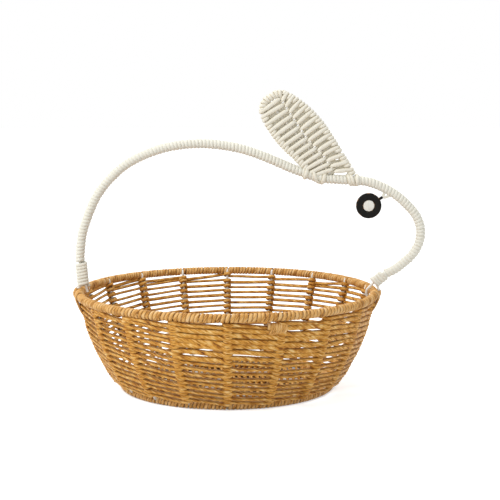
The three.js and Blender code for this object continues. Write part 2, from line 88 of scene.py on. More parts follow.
class Slot(Enum):
    """The record's material slots."""

    TWINE = "twine"
    COATED_WIRE = "coated_wire"
    CREAM_STRAND = "cream_strand"
    BLACK_WOOD = "black_wood"
    CREAM_WOOD = "cream_wood"


# Lines


def unit(vectors: Array) -> Array:
    """Returns the vectors at length 1."""
    return vectors / np.maximum(np.linalg.norm(vectors, axis=-1, keepdims=True), 1e-12)


def tangents(points: Array, closed: bool = False) -> Array:
    """Finds the direction of a line at each of its points.

    Args:
        points: The line's points, one a row.
        closed: Whether the last point joins the first.

    Returns:
        One direction of length 1 for each point.
    """
    if closed:
        return unit(np.roll(points, -1, axis=0) - np.roll(points, 1, axis=0))
    steps = np.diff(points, axis=0)
    both = np.vstack([steps[:1], steps]) + np.vstack([steps, steps[-1:]])
    return unit(both)


def distances(points: Array) -> Array:
    """Returns the way along a line to each of its points."""
    return np.concatenate([[0.0], np.cumsum(np.linalg.norm(np.diff(points, axis=0), axis=1))])


def at_distance(points: Array, where: Array) -> Array:
    """Returns the points of a line, and what further columns hold, at the given ways along it."""
    along = distances(points[:, :3])
    return np.stack([np.interp(where, along, points[:, axis]) for axis in range(points.shape[1])], axis=1)


def respaced(points: Array, step: float) -> Array:
    """Spaces a line's points evenly.

    Args:
        points: The line's points.
        step: The step that is wanted. The one made is near to it and divides the line's length.

    Returns:
        The new points.
    """
    length = distances(points)[-1]
    count = max(2, round(length / step))
    return at_distance(points, np.linspace(0, length, count + 1))


def smooth_line(points: Array, evenness: float, per_span: int = 24) -> Array:
    """Draws a smooth curve through points.

    Args:
        points: The points, one a row.
        evenness: 0 to give each span the same time, 0.5 to give it the root of its length.
        per_span: Points to make on each span.

    Returns:
        The curve's points.
    """
    ends = [2 * points[0] - points[1]] if evenness else [points[0]]
    tails = [2 * points[-1] - points[-2]] if evenness else [points[-1]]
    p = np.vstack([ends, points, tails])
    times = np.linalg.norm(np.diff(p, axis=0), axis=1) ** evenness if evenness else np.ones(len(p) - 1)
    made = []
    for i in range(1, len(p) - 2):
        before, here, after = times[i - 1], times[i], times[i + 1]
        into, over, out = p[i] - p[i - 1], p[i + 1] - p[i], p[i + 2] - p[i + 1]
        m0 = (into / before - (p[i + 1] - p[i - 1]) / (before + here) + over / here) * here
        m1 = (over / here - (p[i + 2] - p[i]) / (here + after) + out / after) * here
        t = np.linspace(0, 1, per_span, endpoint=False)[:, None]
        made.append(
            (2 * t**3 - 3 * t**2 + 1) * p[i]
            + (t**3 - 2 * t**2 + t) * m0
            + (3 * t**2 - 2 * t**3) * p[i + 1]
            + (t**3 - t**2) * m1
        )
    return np.vstack([*made, points[-1:]])


def bend(before: Array, at: Array, after: Array, back: float) -> Array:
    """Rounds a corner.

    Args:
        before: The point that the line comes from.
        at: The corner.
        after: The point that it goes on to.
        back: How far back both sides of the corner are taken.

    Returns:
        The points of the rounded corner.
    """
    start = at + unit(before - at) * back
    end = at + unit(after - at) * back
    t = np.linspace(0, 1, 9)[:, None]
    return (1 - t) ** 2 * start + 2 * t * (1 - t) * at + t**2 * end


def smooth_step(share: float) -> float:
    """Returns a share from 0 to 1 with its ends eased."""
    return share * share * (3 - 2 * share)


def wander(count: int, reach: float, rng: Random, every: int = 6) -> Array:
    """Makes a slow uneven drift, as of a strand laid by hand.

    Args:
        count: How many values to make.
        reach: The most that a value departs from 0.
        rng: The source of chance.
        every: Values from one turning point to the next.

    Returns:
        The values.
    """
    knots = max(2, count // every + 2)
    heights = np.array([rng.uniform(-reach, reach) for _ in range(knots)])
    where = np.linspace(0, knots - 1, count)
    whole = np.minimum(where.astype(int), knots - 2)
    low = heights[whole]
    return low + (heights[whole + 1] - low) * smooth_step(where - whole)


# Strands and wires


@dataclass
class Lay:
    """Where a strand or wire lies: its middle line, and the side that its flat face turns to.

    Attributes:
        points: The middle line, in millimetres.
        outward: A direction for each point, away from what the strand lies on.
        closed: Whether the last point joins the first.
        fullness: The section's size at each point, as a share of the strand's own.
        spread: The section's width alone at each point, as a further share.
    """

    points: Array
    outward: Array
    closed: bool = False
    fullness: Array | None = None
    spread: Array | None = None


@dataclass(frozen=True)
class Section:
    """The section of a strand or wire, in millimetres.

    Attributes:
        width: Its size across the way it lies.
        thickness: Its size away from what it lies on.
        sides: How many sides it is drawn with, an even number.
    """

    width: float
    thickness: float
    sides: int = 8


def round_section(radius: float, sides: int = 8) -> Section:
    """Returns the section of a round wire or strand."""
    return Section(2 * radius, 2 * radius, sides)


def lay_facing(points: Array, direction: Array, closed: bool = False) -> Lay:
    """Returns a lay whose outward side is one direction all along."""
    return Lay(points, np.tile(direction, (len(points), 1)), closed)


def bevelled_curve(name: str, lays: list[Lay], sides: int) -> Mesh:
    """Makes an open-ended tube along each lay with Blender's own curve bevel.

    Args:
        name: The mesh's name.
        lays: The lines to follow.
        sides: Sides of the tube.

    Returns:
        A mesh whose vertices run ring by ring, lay by lay.
    """
    curve = bpy.data.curves.new(name, "CURVE")
    curve.dimensions = "3D"
    curve.bevel_depth = MM
    curve.bevel_resolution = sides // 2 - 2
    curve.use_fill_caps = False
    for lay in lays:
        spline = curve.splines.new("POLY")
        spline.points.add(len(lay.points) - 1)
        weighted = np.c_[lay.points * MM, np.ones(len(lay.points))]
        spline.points.foreach_set("co", weighted.astype(np.float32).ravel())
        spline.use_cyclic_u = lay.closed
    holder = bpy.data.objects.new(name, curve)
    bpy.context.scene.collection.objects.link(holder)
    bpy.context.view_layer.update()
    seen = holder.evaluated_get(bpy.context.evaluated_depsgraph_get())
    mesh = bpy.data.meshes.new_from_object(seen)
    bpy.data.objects.remove(holder)
    bpy.data.curves.remove(curve)
    return mesh


def close_ends(mesh: Mesh) -> None:
    """Fills the open ends of a mesh's tubes.

    Args:
        mesh: The mesh, which is changed.
    """
    work = bmesh.new()
    work.from_mesh(mesh)
    rims = [edge for edge in work.edges if edge.is_boundary]
    bmesh.ops.holes_fill(work, edges=rims, sides=0)
    work.to_mesh(mesh)
    work.free()


def placed(name: str, mesh: Mesh) -> Object:
    """Puts a finished mesh into the scene, shaded smooth.

    Args:
        name: The piece's name.
        mesh: Its mesh, in metres and in its place.

    Returns:
        The piece's object, which stays at the origin.
    """
    mesh.shade_smooth()
    piece = bpy.data.objects.new(name, mesh)
    bpy.context.scene.collection.objects.link(piece)
    return piece


def strand_piece(name: str, lays: list[Lay], section: Section, rng: Random) -> Object:
    """Makes one piece out of strands or wires of the same section.

    Each vertex also gets its place on its strand: the way along in millimetres, and the cosine
    and sine of its angle round the section, whose quarter turn is the outward side.

    Args:
        name: The piece's name.
        lays: Where its strands lie.
        section: Their section.
        rng: The source of chance, for where each strand's pattern starts.

    Returns:
        The piece's object.
    """
    mesh = bevelled_curve(name, lays, section.sides)
    drawn = np.empty(len(mesh.vertices) * 3, np.float32)
    mesh.vertices.foreach_get("co", drawn)
    drawn = drawn.reshape(-1, section.sides, 3).astype(float)
    corners, marks = [], []
    first = 0
    for lay in lays:
        count = len(lay.points)
        way = tangents(lay.points, lay.closed)
        outward = unit(lay.outward - way * np.sum(lay.outward * way, axis=1, keepdims=True))
        across = np.cross(outward, way)
        ring = drawn[first] - drawn[first].mean(axis=0)
        turn = math.copysign(1, float(np.dot(np.cross(ring[0], ring[1]), way[0])))
        angle = turn * FULL_TURN * np.arange(section.sides) / section.sides
        size = np.ones((count, 1)) if lay.fullness is None else lay.fullness[:, None]
        wide = size if lay.spread is None else size * lay.spread[:, None]
        corners.append(
            lay.points[:, None, :]
            + across[:, None, :] * (wide * np.cos(angle) * section.width / 2)[:, :, None]
            + outward[:, None, :] * (size * np.sin(angle) * section.thickness / 2)[:, :, None]
        )
        along = distances(lay.points) + rng.uniform(0, PATTERN_LENGTH)
        places = (along[:, None], np.cos(angle), np.sin(angle))
        marks.append(np.stack(np.broadcast_arrays(*places), axis=2))
        first += count
    mesh.vertices.foreach_set("co", (np.vstack(corners) * MM).astype(np.float32).ravel())
    mark = mesh.attributes.new("strand", "FLOAT_VECTOR", "POINT")
    mark.data.foreach_set("vector", np.vstack(marks).astype(np.float32).ravel())
    if any(not lay.closed for lay in lays):
        close_ends(mesh)
    return placed(name, mesh)


def dress(piece: Object, material: Material, body: Body, slot: Slot, *nodes: str) -> None:
    """Gives a piece its finish, its body and the CAD nodes that it stands for.

    Args:
        piece: The piece's object.
        material: Its finish.
        body: The body that it moves with.
        slot: The record's slot that the finish belongs to; not used.
        nodes: The CAD nodes that it replaces.
    """
    piece.data.materials.clear()
    piece.data.materials.append(material)
    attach(piece, body.value)
    if nodes:
        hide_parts(*nodes)
    log.info("%s: %d faces, on %s", piece.name, len(piece.data.polygons), body.value)


# Finishes


def linear(colour: str) -> tuple[float, float, float, float]:
    """Returns an sRGB hex colour as linear red, green, blue and alpha."""
    shares = [int(colour[i : i + 2], 16) / 255 for i in (1, 3, 5)]
    return (*[s / 12.92 if s <= 0.04045 else ((s + 0.055) / 1.055) ** 2.4 for s in shares], 1.0)


def add(
    tree: NodeTree,
    kind: str,
    links: dict | None = None,
    stops: tuple[tuple[float, str], ...] = (),
    **settings,
) -> Node:
    """Adds a node with its settings and its incoming links.

    Args:
        tree: The material's node tree.
        kind: The node's type.
        links: For each input, by name or number, what feeds it: a socket, a node for its first
            output, or a value.
        stops: For a colour ramp, the places of its colours and those as sRGB.
        settings: The node's own properties.

    Returns:
        The node.
    """
    node = tree.nodes.new(kind)
    for key, value in settings.items():
        setattr(node, key, value)
    while len(node.color_ramp.elements if stops else ()) < len(stops):
        node.color_ramp.elements.new(0.5)
    for index, (place, colour) in enumerate(stops):
        node.color_ramp.elements[index].position = place
        node.color_ramp.elements[index].color = linear(colour)
    for key, value in (links or {}).items():
        if isinstance(value, Node):
            value = value.outputs[0]
        if isinstance(value, NodeSocket):
            tree.links.new(value, node.inputs[key])
        else:
            node.inputs[key].default_value = value
    return node


def blank(name: str, roughness: float) -> tuple[Material, NodeTree, Node]:
    """Makes a material with a bare surface shader.

    Args:
        name: The material's name.
        roughness: Its roughness.

    Returns:
        The material, its node tree and its shader.
    """
    material = bpy.data.materials.new(name)
    material.use_nodes = True
    tree = material.node_tree
    tree.nodes.clear()
    shader = add(tree, "ShaderNodeBsdfPrincipled", {"Roughness": roughness})
    add(tree, "ShaderNodeOutputMaterial", {"Surface": shader})
    return material, tree, shader


@dataclass(frozen=True)
class TwistedStrand:
    """A finish for twisted paper or rush twine and for resin strand.

    It gives the eye streaks of fibre that run round the strand at a slant, a tone that drifts
    from one stretch to the next, painted light and shade on the ridges of its plies, and painted
    shade, a darker tone, where a strand turns in to its neighbour.

    Attributes:
        name: The finish's name.
        tones: Colours of the painted shade at the strand's sides, also the ramp's darkest stop, of
        the darker fibres, of most of the strand and of the palest fibres.
        plies: Ridges seen round the strand.
        twist: Way along in which a ridge turns once, in millimetres.
        fibre: Width of a streak of fibre, in millimetres.
        run: Length of a streak of fibre, in millimetres.
        streak: How much the fibres differ in tone, as a share.
        drift: How much the tone drifts along the strand, as a share.
        stretch: Length of a stretch of one tone, in millimetres.
        painted_groove_shade: How far the painted shade darkens the sides of the strand, as a share.
        ridge: How much lighter the ridges' crests and darker the valleys between them are painted, as
        painted light and shade, and how high they stand in the relief, as a share.
        roughness: The surface's roughness.
        relief: Height of the fibres, in millimetres.
        sheen: How much the surface reflects, as the shader's specular level.
        tone_places: Where the four tones stand on the ramp.
        painted_shade_start: How far to the side of the strand the painted shade starts, as a share.
    """

    name: str
    tones: tuple[str, str, str, str]
    plies: int
    twist: float
    fibre: float
    run: float
    streak: float
    drift: float
    stretch: float
    painted_groove_shade: float
    ridge: float
    roughness: float
    relief: float
    sheen: float = 0.25
    tone_places: tuple[float, ...] = (0.08, 0.32, 0.56, 0.9)
    painted_shade_start: float = 0.5

    def material(self) -> Material:
        """Builds the finish.

        Returns:
            The material.
        """
        material, tree, shader = blank(self.name, self.roughness)
        mark = add(tree, "ShaderNodeAttribute", attribute_name="strand")
        split = add(tree, "ShaderNodeSeparateXYZ", {0: mark.outputs["Vector"]})
        along, across, out = (split.outputs[i] for i in range(3))
        angle = add(tree, "ShaderNodeMath", {0: out, 1: across}, operation="ARCTAN2")
        # The angle round the strand turns on with the twist
        twist = {0: along, 1: -FULL_TURN / self.twist, 2: angle}
        turned = add(tree, "ShaderNodeMath", twist, operation="MULTIPLY_ADD")
        ridges = add(tree, "ShaderNodeMath", {0: turned, 1: float(self.plies)}, operation="MULTIPLY")
        ridge = add(tree, "ShaderNodeMath", {0: ridges}, operation="COSINE")
        # Fibres are long patches of noise on the turned angle
        round_x = add(tree, "ShaderNodeMath", {0: turned}, operation="COSINE")
        round_y = add(tree, "ShaderNodeMath", {0: turned}, operation="SINE")
        fibre_place = add(tree, "ShaderNodeCombineXYZ", {0: along, 1: round_x, 2: round_y})
        fineness = (1 / self.run, PATCH / self.fibre, PATCH / self.fibre)
        stretched = add(tree, "ShaderNodeVectorMath", {0: fibre_place, 1: fineness}, operation="MULTIPLY")
        detail = {"Vector": stretched, "Scale": 1.0, "Detail": 3.0, "Roughness": 0.6}
        fibres = add(tree, "ShaderNodeTexNoise", detail)
        slow_way = add(tree, "ShaderNodeMath", {0: along, 1: 1 / self.stretch}, operation="MULTIPLY")
        slow_detail = {"W": slow_way, "Scale": 1.0, "Detail": 2.0}
        slow = add(tree, "ShaderNodeTexNoise", slow_detail, noise_dimensions="1D")
        # The tone is the sum of the fibres, the drift and the ridges, each about its own middle; the
        # ridges' part is painted light on their crests and painted shade in the valleys between them
        streaks = {0: fibres, 1: NOISE_GAIN * self.streak, 2: 0.5 - NOISE_GAIN / 2 * self.streak}
        tone = add(tree, "ShaderNodeMath", streaks, operation="MULTIPLY_ADD")
        drift = {0: slow, 1: NOISE_GAIN * self.drift, 2: -NOISE_GAIN / 2 * self.drift}
        drifted = add(tree, "ShaderNodeMath", drift, operation="MULTIPLY_ADD")
        both = add(tree, "ShaderNodeMath", {0: tone, 1: drifted}, operation="ADD")
        painted_ridge_light = {0: ridge, 1: 0.5 * self.ridge, 2: both}
        ridged = add(tree, "ShaderNodeMath", painted_ridge_light, operation="MULTIPLY_ADD")
        stops = tuple(zip(self.tone_places, self.tones))
        colour = add(tree, "ShaderNodeValToRGB", {"Fac": ridged}, stops)
        # Painted shade: the sides of the strand, where it turns in to its neighbour, darken to the first
        # tone
        side = add(tree, "ShaderNodeMath", {0: across}, operation="ABSOLUTE")
        span = {"From Min": self.painted_shade_start, "From Max": 1.0, "To Min": 0.0, "To Max": self.painted_groove_shade}
        painted_shade_mask = add(
            tree, "ShaderNodeMapRange", {"Value": side, **span}, interpolation_type="SMOOTHSTEP"
        )
        tones = {"Factor": painted_shade_mask, MIX_FIRST: colour, MIX_SECOND: linear(self.tones[0])}
        shaded = add(tree, "ShaderNodeMix", tones, data_type="RGBA")
        tree.links.new(shaded.outputs[MIX_RESULT], shader.inputs["Base Color"])
        shader.inputs["Specular IOR Level"].default_value = self.sheen
        height = add(tree, "ShaderNodeMath", {0: ridge, 1: self.ridge, 2: fibres}, operation="MULTIPLY_ADD")
        relief = {"Height": height, "Distance": self.relief * MM, "Strength": 1.0}
        tree.links.new(add(tree, "ShaderNodeBump", relief).outputs["Normal"], shader.inputs["Normal"])
        return material


@dataclass(frozen=True)
class PowderCoat:
    """White powder coat on steel wire: satin, with the faint orange peel of baked powder.

    Attributes:
        name: The finish's name.
        colour: The coat's colour.
        shade: Its colour where it lies thin or is soiled.
        peel: The width of the peel's dimples, in millimetres.
        peel_depth: Their depth, in millimetres.
        cloud: The width of a patch of one tone, in millimetres.
        roughness: The surface's roughness.
    """

    name: str = "powder_coated_steel_wire"
    colour: str = "#F1EEE6"
    shade: str = "#E2DDD0"
    peel: float = 1.1
    peel_depth: float = 0.03
    cloud: float = 14.0
    roughness: float = 0.42

    def material(self) -> Material:
        """Builds the finish.

        Returns:
            The material.
        """
        material, tree, shader = blank(self.name, self.roughness)
        place = add(tree, "ShaderNodeTexCoord").outputs["Object"]
        peel, cloud = (
            add(tree, "ShaderNodeTexNoise", {"Vector": place, "Scale": 1 / (width * MM), "Detail": detail})
            for width, detail in ((self.peel, 1.0), (self.cloud, 2.0))
        )
        colour = add(tree, "ShaderNodeValToRGB", {"Fac": cloud}, ((0.3, self.shade), (0.6, self.colour)))
        tree.links.new(colour.outputs["Color"], shader.inputs["Base Color"])
        relief = {"Height": peel, "Distance": self.peel_depth * MM, "Strength": 1.0}
        tree.links.new(add(tree, "ShaderNodeBump", relief).outputs["Normal"], shader.inputs["Normal"])
        return material


@dataclass(frozen=True)
class BrushPaintedWood:
    """Matt paint brushed on a turned wooden disc: faint brush marks, and bare wood worn through
    in spots along the rounded edges.

    Attributes:
        name: The finish's name.
        paint: The paint's colour.
        thin: The colour where the paint lies thin.
        wood: The bare wood's colour.
        centre: The disc's middle, in metres.
        edges: The radii of the worn edges, in millimetres.
        wear: The share of an edge that is worn.
        roughness: The paint's roughness.
        sheen: How much the paint reflects, as the shader's specular level.
        marks: Brush marks in a metre along X, Y and Z: they are 1.1 mm wide and 8 mm long.
        mark_depth: Their depth, in millimetres.
        edge_width: How far from an edge's radius the wear reaches, in millimetres.
        spot: The width of a worn spot, in millimetres.
        worn: Where the noise of the spots starts and ends to show wood, if nothing is worn.
        wear_reach: How far all wear would move those two.
    """

    name: str
    paint: str
    thin: str
    wood: str
    centre: tuple[float, float, float]
    edges: tuple[float, ...]
    wear: float
    roughness: float
    sheen: float = 0.15
    marks: tuple[float, float, float] = (900.0, 900.0, 120.0)
    mark_depth: float = 0.06
    edge_width: float = 0.32
    spot: float = 2.6
    worn: tuple[float, float] = (0.66, 0.72)
    wear_reach: float = 0.3

    def material(self) -> Material:
        """Builds the finish.

        Returns:
            The material.
        """
        material, tree, shader = blank(self.name, self.roughness)
        shader.inputs["Specular IOR Level"].default_value = self.sheen
        place = add(tree, "ShaderNodeTexCoord").outputs["Object"]
        shift = tuple(-c for c in self.centre)
        centred = add(tree, "ShaderNodeMapping", {"Vector": place, "Location": shift})
        flat = add(tree, "ShaderNodeVectorMath", {0: centred, 1: (1.0, 0.0, 1.0)}, operation="MULTIPLY")
        radius = add(tree, "ShaderNodeVectorMath", {0: flat}, operation="LENGTH").outputs["Value"]
        grain = add(tree, "ShaderNodeVectorMath", {0: centred, 1: self.marks}, operation="MULTIPLY")
        brush = add(tree, "ShaderNodeTexNoise", {"Vector": grain, "Scale": 1.0, "Detail": 3.0})
        paint = add(tree, "ShaderNodeValToRGB", {"Fac": brush}, ((0.35, self.thin), (0.62, self.paint)))
        spot_detail = {"Vector": centred, "Scale": 1 / (self.spot * MM), "Detail": 3.0}
        spots = add(tree, "ShaderNodeTexNoise", spot_detail)
        worn = None
        for edge in self.edges:
            band = {0: radius, 1: edge * MM, 2: self.edge_width * MM}
            near = add(tree, "ShaderNodeMath", band, operation="COMPARE")
            if worn is None:
                worn = near
            else:
                worn = add(tree, "ShaderNodeMath", {0: worn, 1: near}, operation="MAXIMUM")
        start, end = (value - self.wear * self.wear_reach for value in self.worn)
        patch = add(tree, "ShaderNodeMapRange", {"Value": spots, "From Min": start, "From Max": end})
        mask = add(tree, "ShaderNodeMath", {0: worn, 1: patch}, operation="MULTIPLY")
        tones = {"Factor": mask, MIX_FIRST: paint, MIX_SECOND: linear(self.wood)}
        colour = add(tree, "ShaderNodeMix", tones, data_type="RGBA")
        tree.links.new(colour.outputs[MIX_RESULT], shader.inputs["Base Color"])
        relief = {"Height": brush, "Distance": self.mark_depth * MM, "Strength": 1.0}
        tree.links.new(add(tree, "ShaderNodeBump", relief).outputs["Normal"], shader.inputs["Normal"])
        return material


# Twisted paper twine, two plies: long golden fibres that slant round the strand, with pale ones
# that catch the light, and a deep brown painted shade between neighbouring strands.
WALL_TWINE = TwistedStrand(
    name="twisted_paper_twine", plies=2, twist=36.0, fibre=0.6, run=9.0, streak=0.78, drift=0.24,
    stretch=9.0, painted_groove_shade=0.62, ridge=0.07, roughness=0.55, relief=0.22,
    tones=("#582A06", "#B87824", "#DCA348", "#F4D290"),
)
# The same twine wound tight round a wire: a paler strand, whose tone changes every few turns,
# with painted shade between its turns.
WOUND_TWINE = TwistedStrand(
    name="wound_paper_twine", plies=2, twist=22.0, fibre=0.5, run=11.0, streak=0.6, drift=0.35,
    stretch=14.0, painted_groove_shade=0.5, ridge=0.16, roughness=0.52, relief=0.18,
    tones=("#6A3C10", "#C2883C", "#E2B068", "#EBCA98"),
)
# Extruded resin strand wound round a wire: smooth and satin, almost one tone, with soft painted
# shade in the grooves between its turns.
WOUND_CREAM = TwistedStrand(
    name="round_resin_strand", plies=3, twist=60.0, fibre=0.9, run=20.0, streak=0.16, drift=0.14,
    stretch=25.0, painted_groove_shade=0.12, ridge=0.0, roughness=0.5, relief=0.02,
    tones=("#DDD4BC", "#E8E4D6", "#EAE8DC", "#EAE8DE"),
)
# The same strand woven loose, as in the ear: a warm painted shade at its sides, where it bends to the far
# face.
WOVEN_CREAM = TwistedStrand(
    name="woven_resin_strand", plies=3, twist=60.0, fibre=0.9, run=20.0, streak=0.08, drift=0.16,
    stretch=12.0, painted_groove_shade=0.3, ridge=0.0, roughness=0.5, relief=0.0,
    tones=("#DCCBA8", "#EAE4D2", "#EEEADC", "#EFECE2"),
)


# Windings


@dataclass(frozen=True)
class RingWinding:
    """Twine wound round a wire ring, bay by bay between the stakes.

    Attributes:
        ring_radius: The wire ring's radius.
        height: The ring's height.
        wire_radius: The wire's radius.
        thickness: The strand's thickness on the wire.
        bay_turns: Turns in the bays at the back, the sides and the front.
        stake_room: The way along that the strand leaves free at each stake.
        clear_side: Turns by which the side that stays clear at a stake lies from the inner one.
        slant: How far the strand runs on over the outer and the inner face, beyond its pitch.
        steps: Points in a turn.
    """

    ring_radius: float
    height: float
    wire_radius: float
    thickness: float
    bay_turns: tuple[int, int, int]
    stake_room: float
    clear_side: float
    slant: float = 0.0
    steps: int = 12

    def lay(self, stakes: int, rng: Random) -> Lay:
        """Works out the strand's closed line round the ring.

        Args:
            stakes: How many stakes the ring has.
            rng: The source of chance.

        Returns:
            The strand's lay.
        """
        angles, turns, widths = [], [], []
        bay = FULL_TURN / stakes
        room = self.stake_room / self.ring_radius
        back, side, front = self.bay_turns
        for index in range(stakes):
            start = math.pi / 2 + bay * index
            facing = math.sin(start + bay / 2)
            count = round(side + (back - side) * max(facing, 0) + (front - side) * max(-facing, 0))
            t = np.arange(count * self.steps) / self.steps
            plain = (bay - room) / (count - 1)
            swept = np.interp(t, [0, 0.5, count - 0.5, count], [0, room / 2, bay - room / 2, bay])
            angles.append(start + swept)
            turns.append(t + self.clear_side)
            widths.append(np.full(len(t), plain * self.ring_radius))
        angle = np.concatenate(angles)
        psi = FULL_TURN * np.concatenate(turns)
        count = len(angle)
        angle = angle + (wander(count, 0.4, rng, 9) + self.slant * np.sin(2 * psi)) / self.ring_radius
        radial = np.stack([np.cos(angle), np.sin(angle), np.zeros(count)], axis=1)
        reach = self.wire_radius + self.thickness / 2 + wander(count, 0.1, rng, 13)
        out = radial * np.cos(psi)[:, None] + UP * np.sin(psi)[:, None]
        points = radial * self.ring_radius + UP * self.height + out * reach[:, None]
        width = np.concatenate(widths)
        fullness = width / width.mean() * (1 + wander(count, 0.06, rng, 11))
        return Lay(points, out, True, fullness)


def coil(line: Array, where: Array, turns: Array, reach: Array) -> tuple[Array, Array]:
    """Finds points round a line that lies in the handle's plane.

    Args:
        line: The core's middle line.
        where: The way along it to each point.
        turns: The turn at which each point is; whole turns are on the handle's inner side.
        reach: How far from the core's middle each point is.

    Returns:
        The points, and the way out from the core at each.
    """
    spots = at_distance(np.hstack([line, tangents(line)]), where)
    way = unit(spots[:, 3:])
    side = np.cross(BACK, way)
    psi = FULL_TURN * turns
    out = side * np.cos(psi)[:, None] + np.cross(way, side) * np.sin(psi)[:, None]
    return spots[:, :3] + out * reach[:, None], out


def wound_along(line: Array, reach: float, pitch: float, rng: Random, steps: int = 12) -> Lay:
    """Winds a right-handed strand along a line that lies in the handle's plane.

    Args:
        line: The core's middle line.
        reach: From the core's middle to the strand's.
        pitch: The way along for one turn.
        rng: The source of chance.
        steps: Points in a turn.

    Returns:
        The strand's lay.
    """
    length = distances(line)[-1]
    turns = length / pitch
    t = np.linspace(0, turns, round(turns * steps) + 1)
    where = np.clip(t * pitch + wander(len(t), 0.16, rng, 14), 0, length)
    points, out = coil(line, where, t, reach + wander(len(t), 0.1, rng, 9))
    return Lay(points, out, False, 1 + wander(len(t), 0.04, rng, 12))


# Bowl


@dataclass
class Bowl:
    """The basket's wire frame and its twine: rim, stakes, rows, foot and base.

    Lengths are in millimetres. Tables by angle hold degrees from the X axis, anticlockwise from
    above, and a value.

    Attributes:
        rim_radius: From the axis to the rim wire.
        foot_radius: From the axis to the foot wire.
        wall_height: From the foot wire up to the rim wire.
        rim_wire: The rim wire's radius.
        foot_wire: The foot wire's radius.
        foot_height: The foot wire's height.
        stake_count: How many stakes stand round the bowl.
        stake_radius: Their radius.
        rim_seat: From the rim wire's middle to a stake's end, and the angle of that from the upright.
        foot_seat: The same at the foot wire.
        climb: How far in from the rim wire and how far above it a stake runs through the rim.
        row_count: How many rows the wall has.
        row_offset: From a row's middle to the stakes' middle.
        row_edge: From a CAD row's middle to its outer edge.
        strand: The wall strand's thickness at the back.
        front_growth: How much thicker it lies at the front, as a share.
        row_drift: By angle, how far the rows lie above their CAD height.
        top_drift: By angle, how far the ragged row lies above its place.
        added_drift: By angle, the same for the short strand added to it.
        high_spread: By angle, how much wider than round the upper rows' strands lie, as a share.
        low_spread: By angle, the same for the lower rows.
        low_rows: How many rows, counted from the top, are upper ones.
        lashings: For each short lashing its name, its first and last angle, its turns, its
            height, how far it reaches up and down, and how far out and in.
        depths: How far down the stakes' line bends, as shares of the wall's height.
        reaches: How far out it is there, as shares of the way from the foot to the rim.
        cross_wire: The cross wires' radius.
        cross_height: Their height.
        cross_shares: Where they lie, as shares of the foot's radius.
        base_reach: How far out the base's strands go.
        base_pitch: From one of them to the next.
        base_strand: Their thickness.
        rng: The source of chance for wires, windings and lashings.
    """

    rim_radius: float = 147.0
    foot_radius: float = 104.6
    wall_height: float = 91.4
    rim_wire: float = 2.0
    foot_wire: float = 1.6
    foot_height: float = 3.2
    stake_count: int = 18
    stake_radius: float = 1.4
    rim_seat: tuple[float, float] = (2.3, 20)
    foot_seat: tuple[float, float] = (1.9, 50)
    climb: Pairs = ((2.0, 1.9), (2.9, 0.6), (3.3, -1.2), (3.5, -4.2))
    row_count: int = 15
    row_offset: float = 3.4
    row_edge: float = 1.294
    strand: float = 3.25
    front_growth: float = 0.3
    row_drift: Pairs = (
        (-10, -2.4), (10, -4.6), (30, -4.4), (50, -2.8), (70, -1.2), (90, 0.0), (110, 1.4),
        (130, 2.2), (150, 2.2), (170, 1.5), (190, 1.2), (210, 2.0), (230, 1.8), (250, 0.2),
        (270, -0.6), (290, -0.7), (310, -0.5), (330, -0.3), (350, -2.4), (370, -4.6),
    )
    top_drift: Pairs = (
        (-10, 0.0), (10, 0.0), (30, 0.0), (50, -1.0), (70, -1.2), (90, 0.6), (110, -1.8),
        (130, 0.2), (150, 0.6), (170, 1.0), (190, 0.0), (210, -0.6), (250, -1.4), (290, -1.4),
        (330, -0.8), (350, 0.0), (370, 0.0),
    )
    added_drift: Pairs = ((0, 0.3), (50, 1.2), (350, 1.2), (360, 0.5))
    high_spread: Pairs = (
        (-10, 0.1), (0, 0.0), (180, -0.1), (196, -0.42), (230, -0.42), (242, 0.05), (256, 0.36),
        (300, 0.4), (335, 0.28), (350, 0.1), (370, 0.0),
    )
    low_spread: Pairs = (
        (-10, 0.1), (0, 0.0), (180, -0.1), (210, -0.06), (245, -0.3), (300, -0.32), (330, -0.14),
        (350, 0.1), (370, 0.0),
    )
    low_rows: int = 6
    lashings: tuple[tuple, ...] = (
        ("wall_lashing_front", (284.6, 291.4), 7.5, 83.2, 5.0, 4.1),
        ("rim_lashing_left", (186.2, 192.0), 4.5, 87.2, 12.0, 4.4),
        ("rim_lashing_right", (348.8, 353.4), 3.5, 88.6, 10.2, 4.5),
    )
    depths: tuple[float, ...] = (0.07, 0.22, 0.35, 0.48, 0.6, 0.72, 0.82, 0.9, 0.965)
    reaches: tuple[float, ...] = (0.925, 0.825, 0.758, 0.655, 0.547, 0.412, 0.3, 0.18, 0.085)
    cross_wire: float = 1.3
    cross_height: float = 4.0
    cross_shares: tuple[float, ...] = (-0.66, -0.33, 0.0, 0.33, 0.66)
    base_reach: float = 101.2
    base_pitch: float = 6.0
    base_strand: float = 3.0
    rng: Random = field(default_factory=lambda: Random(11))

    @property
    def rim_height(self) -> float:
        """The rim's height."""
        return self.foot_height + self.wall_height

    def profile(self) -> Array:
        """Draws the stakes' line from rim to foot.

        Returns:
            Its points, as radius and height.
        """
        away, lean = self.rim_seat[0], math.radians(self.rim_seat[1])
        top = (self.rim_radius - away * math.sin(lean), self.rim_height - away * math.cos(lean))
        away, lean = self.foot_seat[0], math.radians(self.foot_seat[1])
        foot = (self.foot_radius + away * math.sin(lean), self.foot_height + away * math.cos(lean))
        spread = self.rim_radius - self.foot_radius
        between = [
            (self.foot_radius + spread * reach, self.rim_height - self.wall_height * depth)
            for reach, depth in zip(self.reaches, self.depths)
        ]
        return smooth_line(np.array([top, *between, foot]), 0)

    def stake_angles(self) -> list[float]:
        """Returns the stakes' angles, the first at the back, anticlockwise from above."""
        return [math.pi / 2 + FULL_TURN * i / self.stake_count for i in range(self.stake_count)]

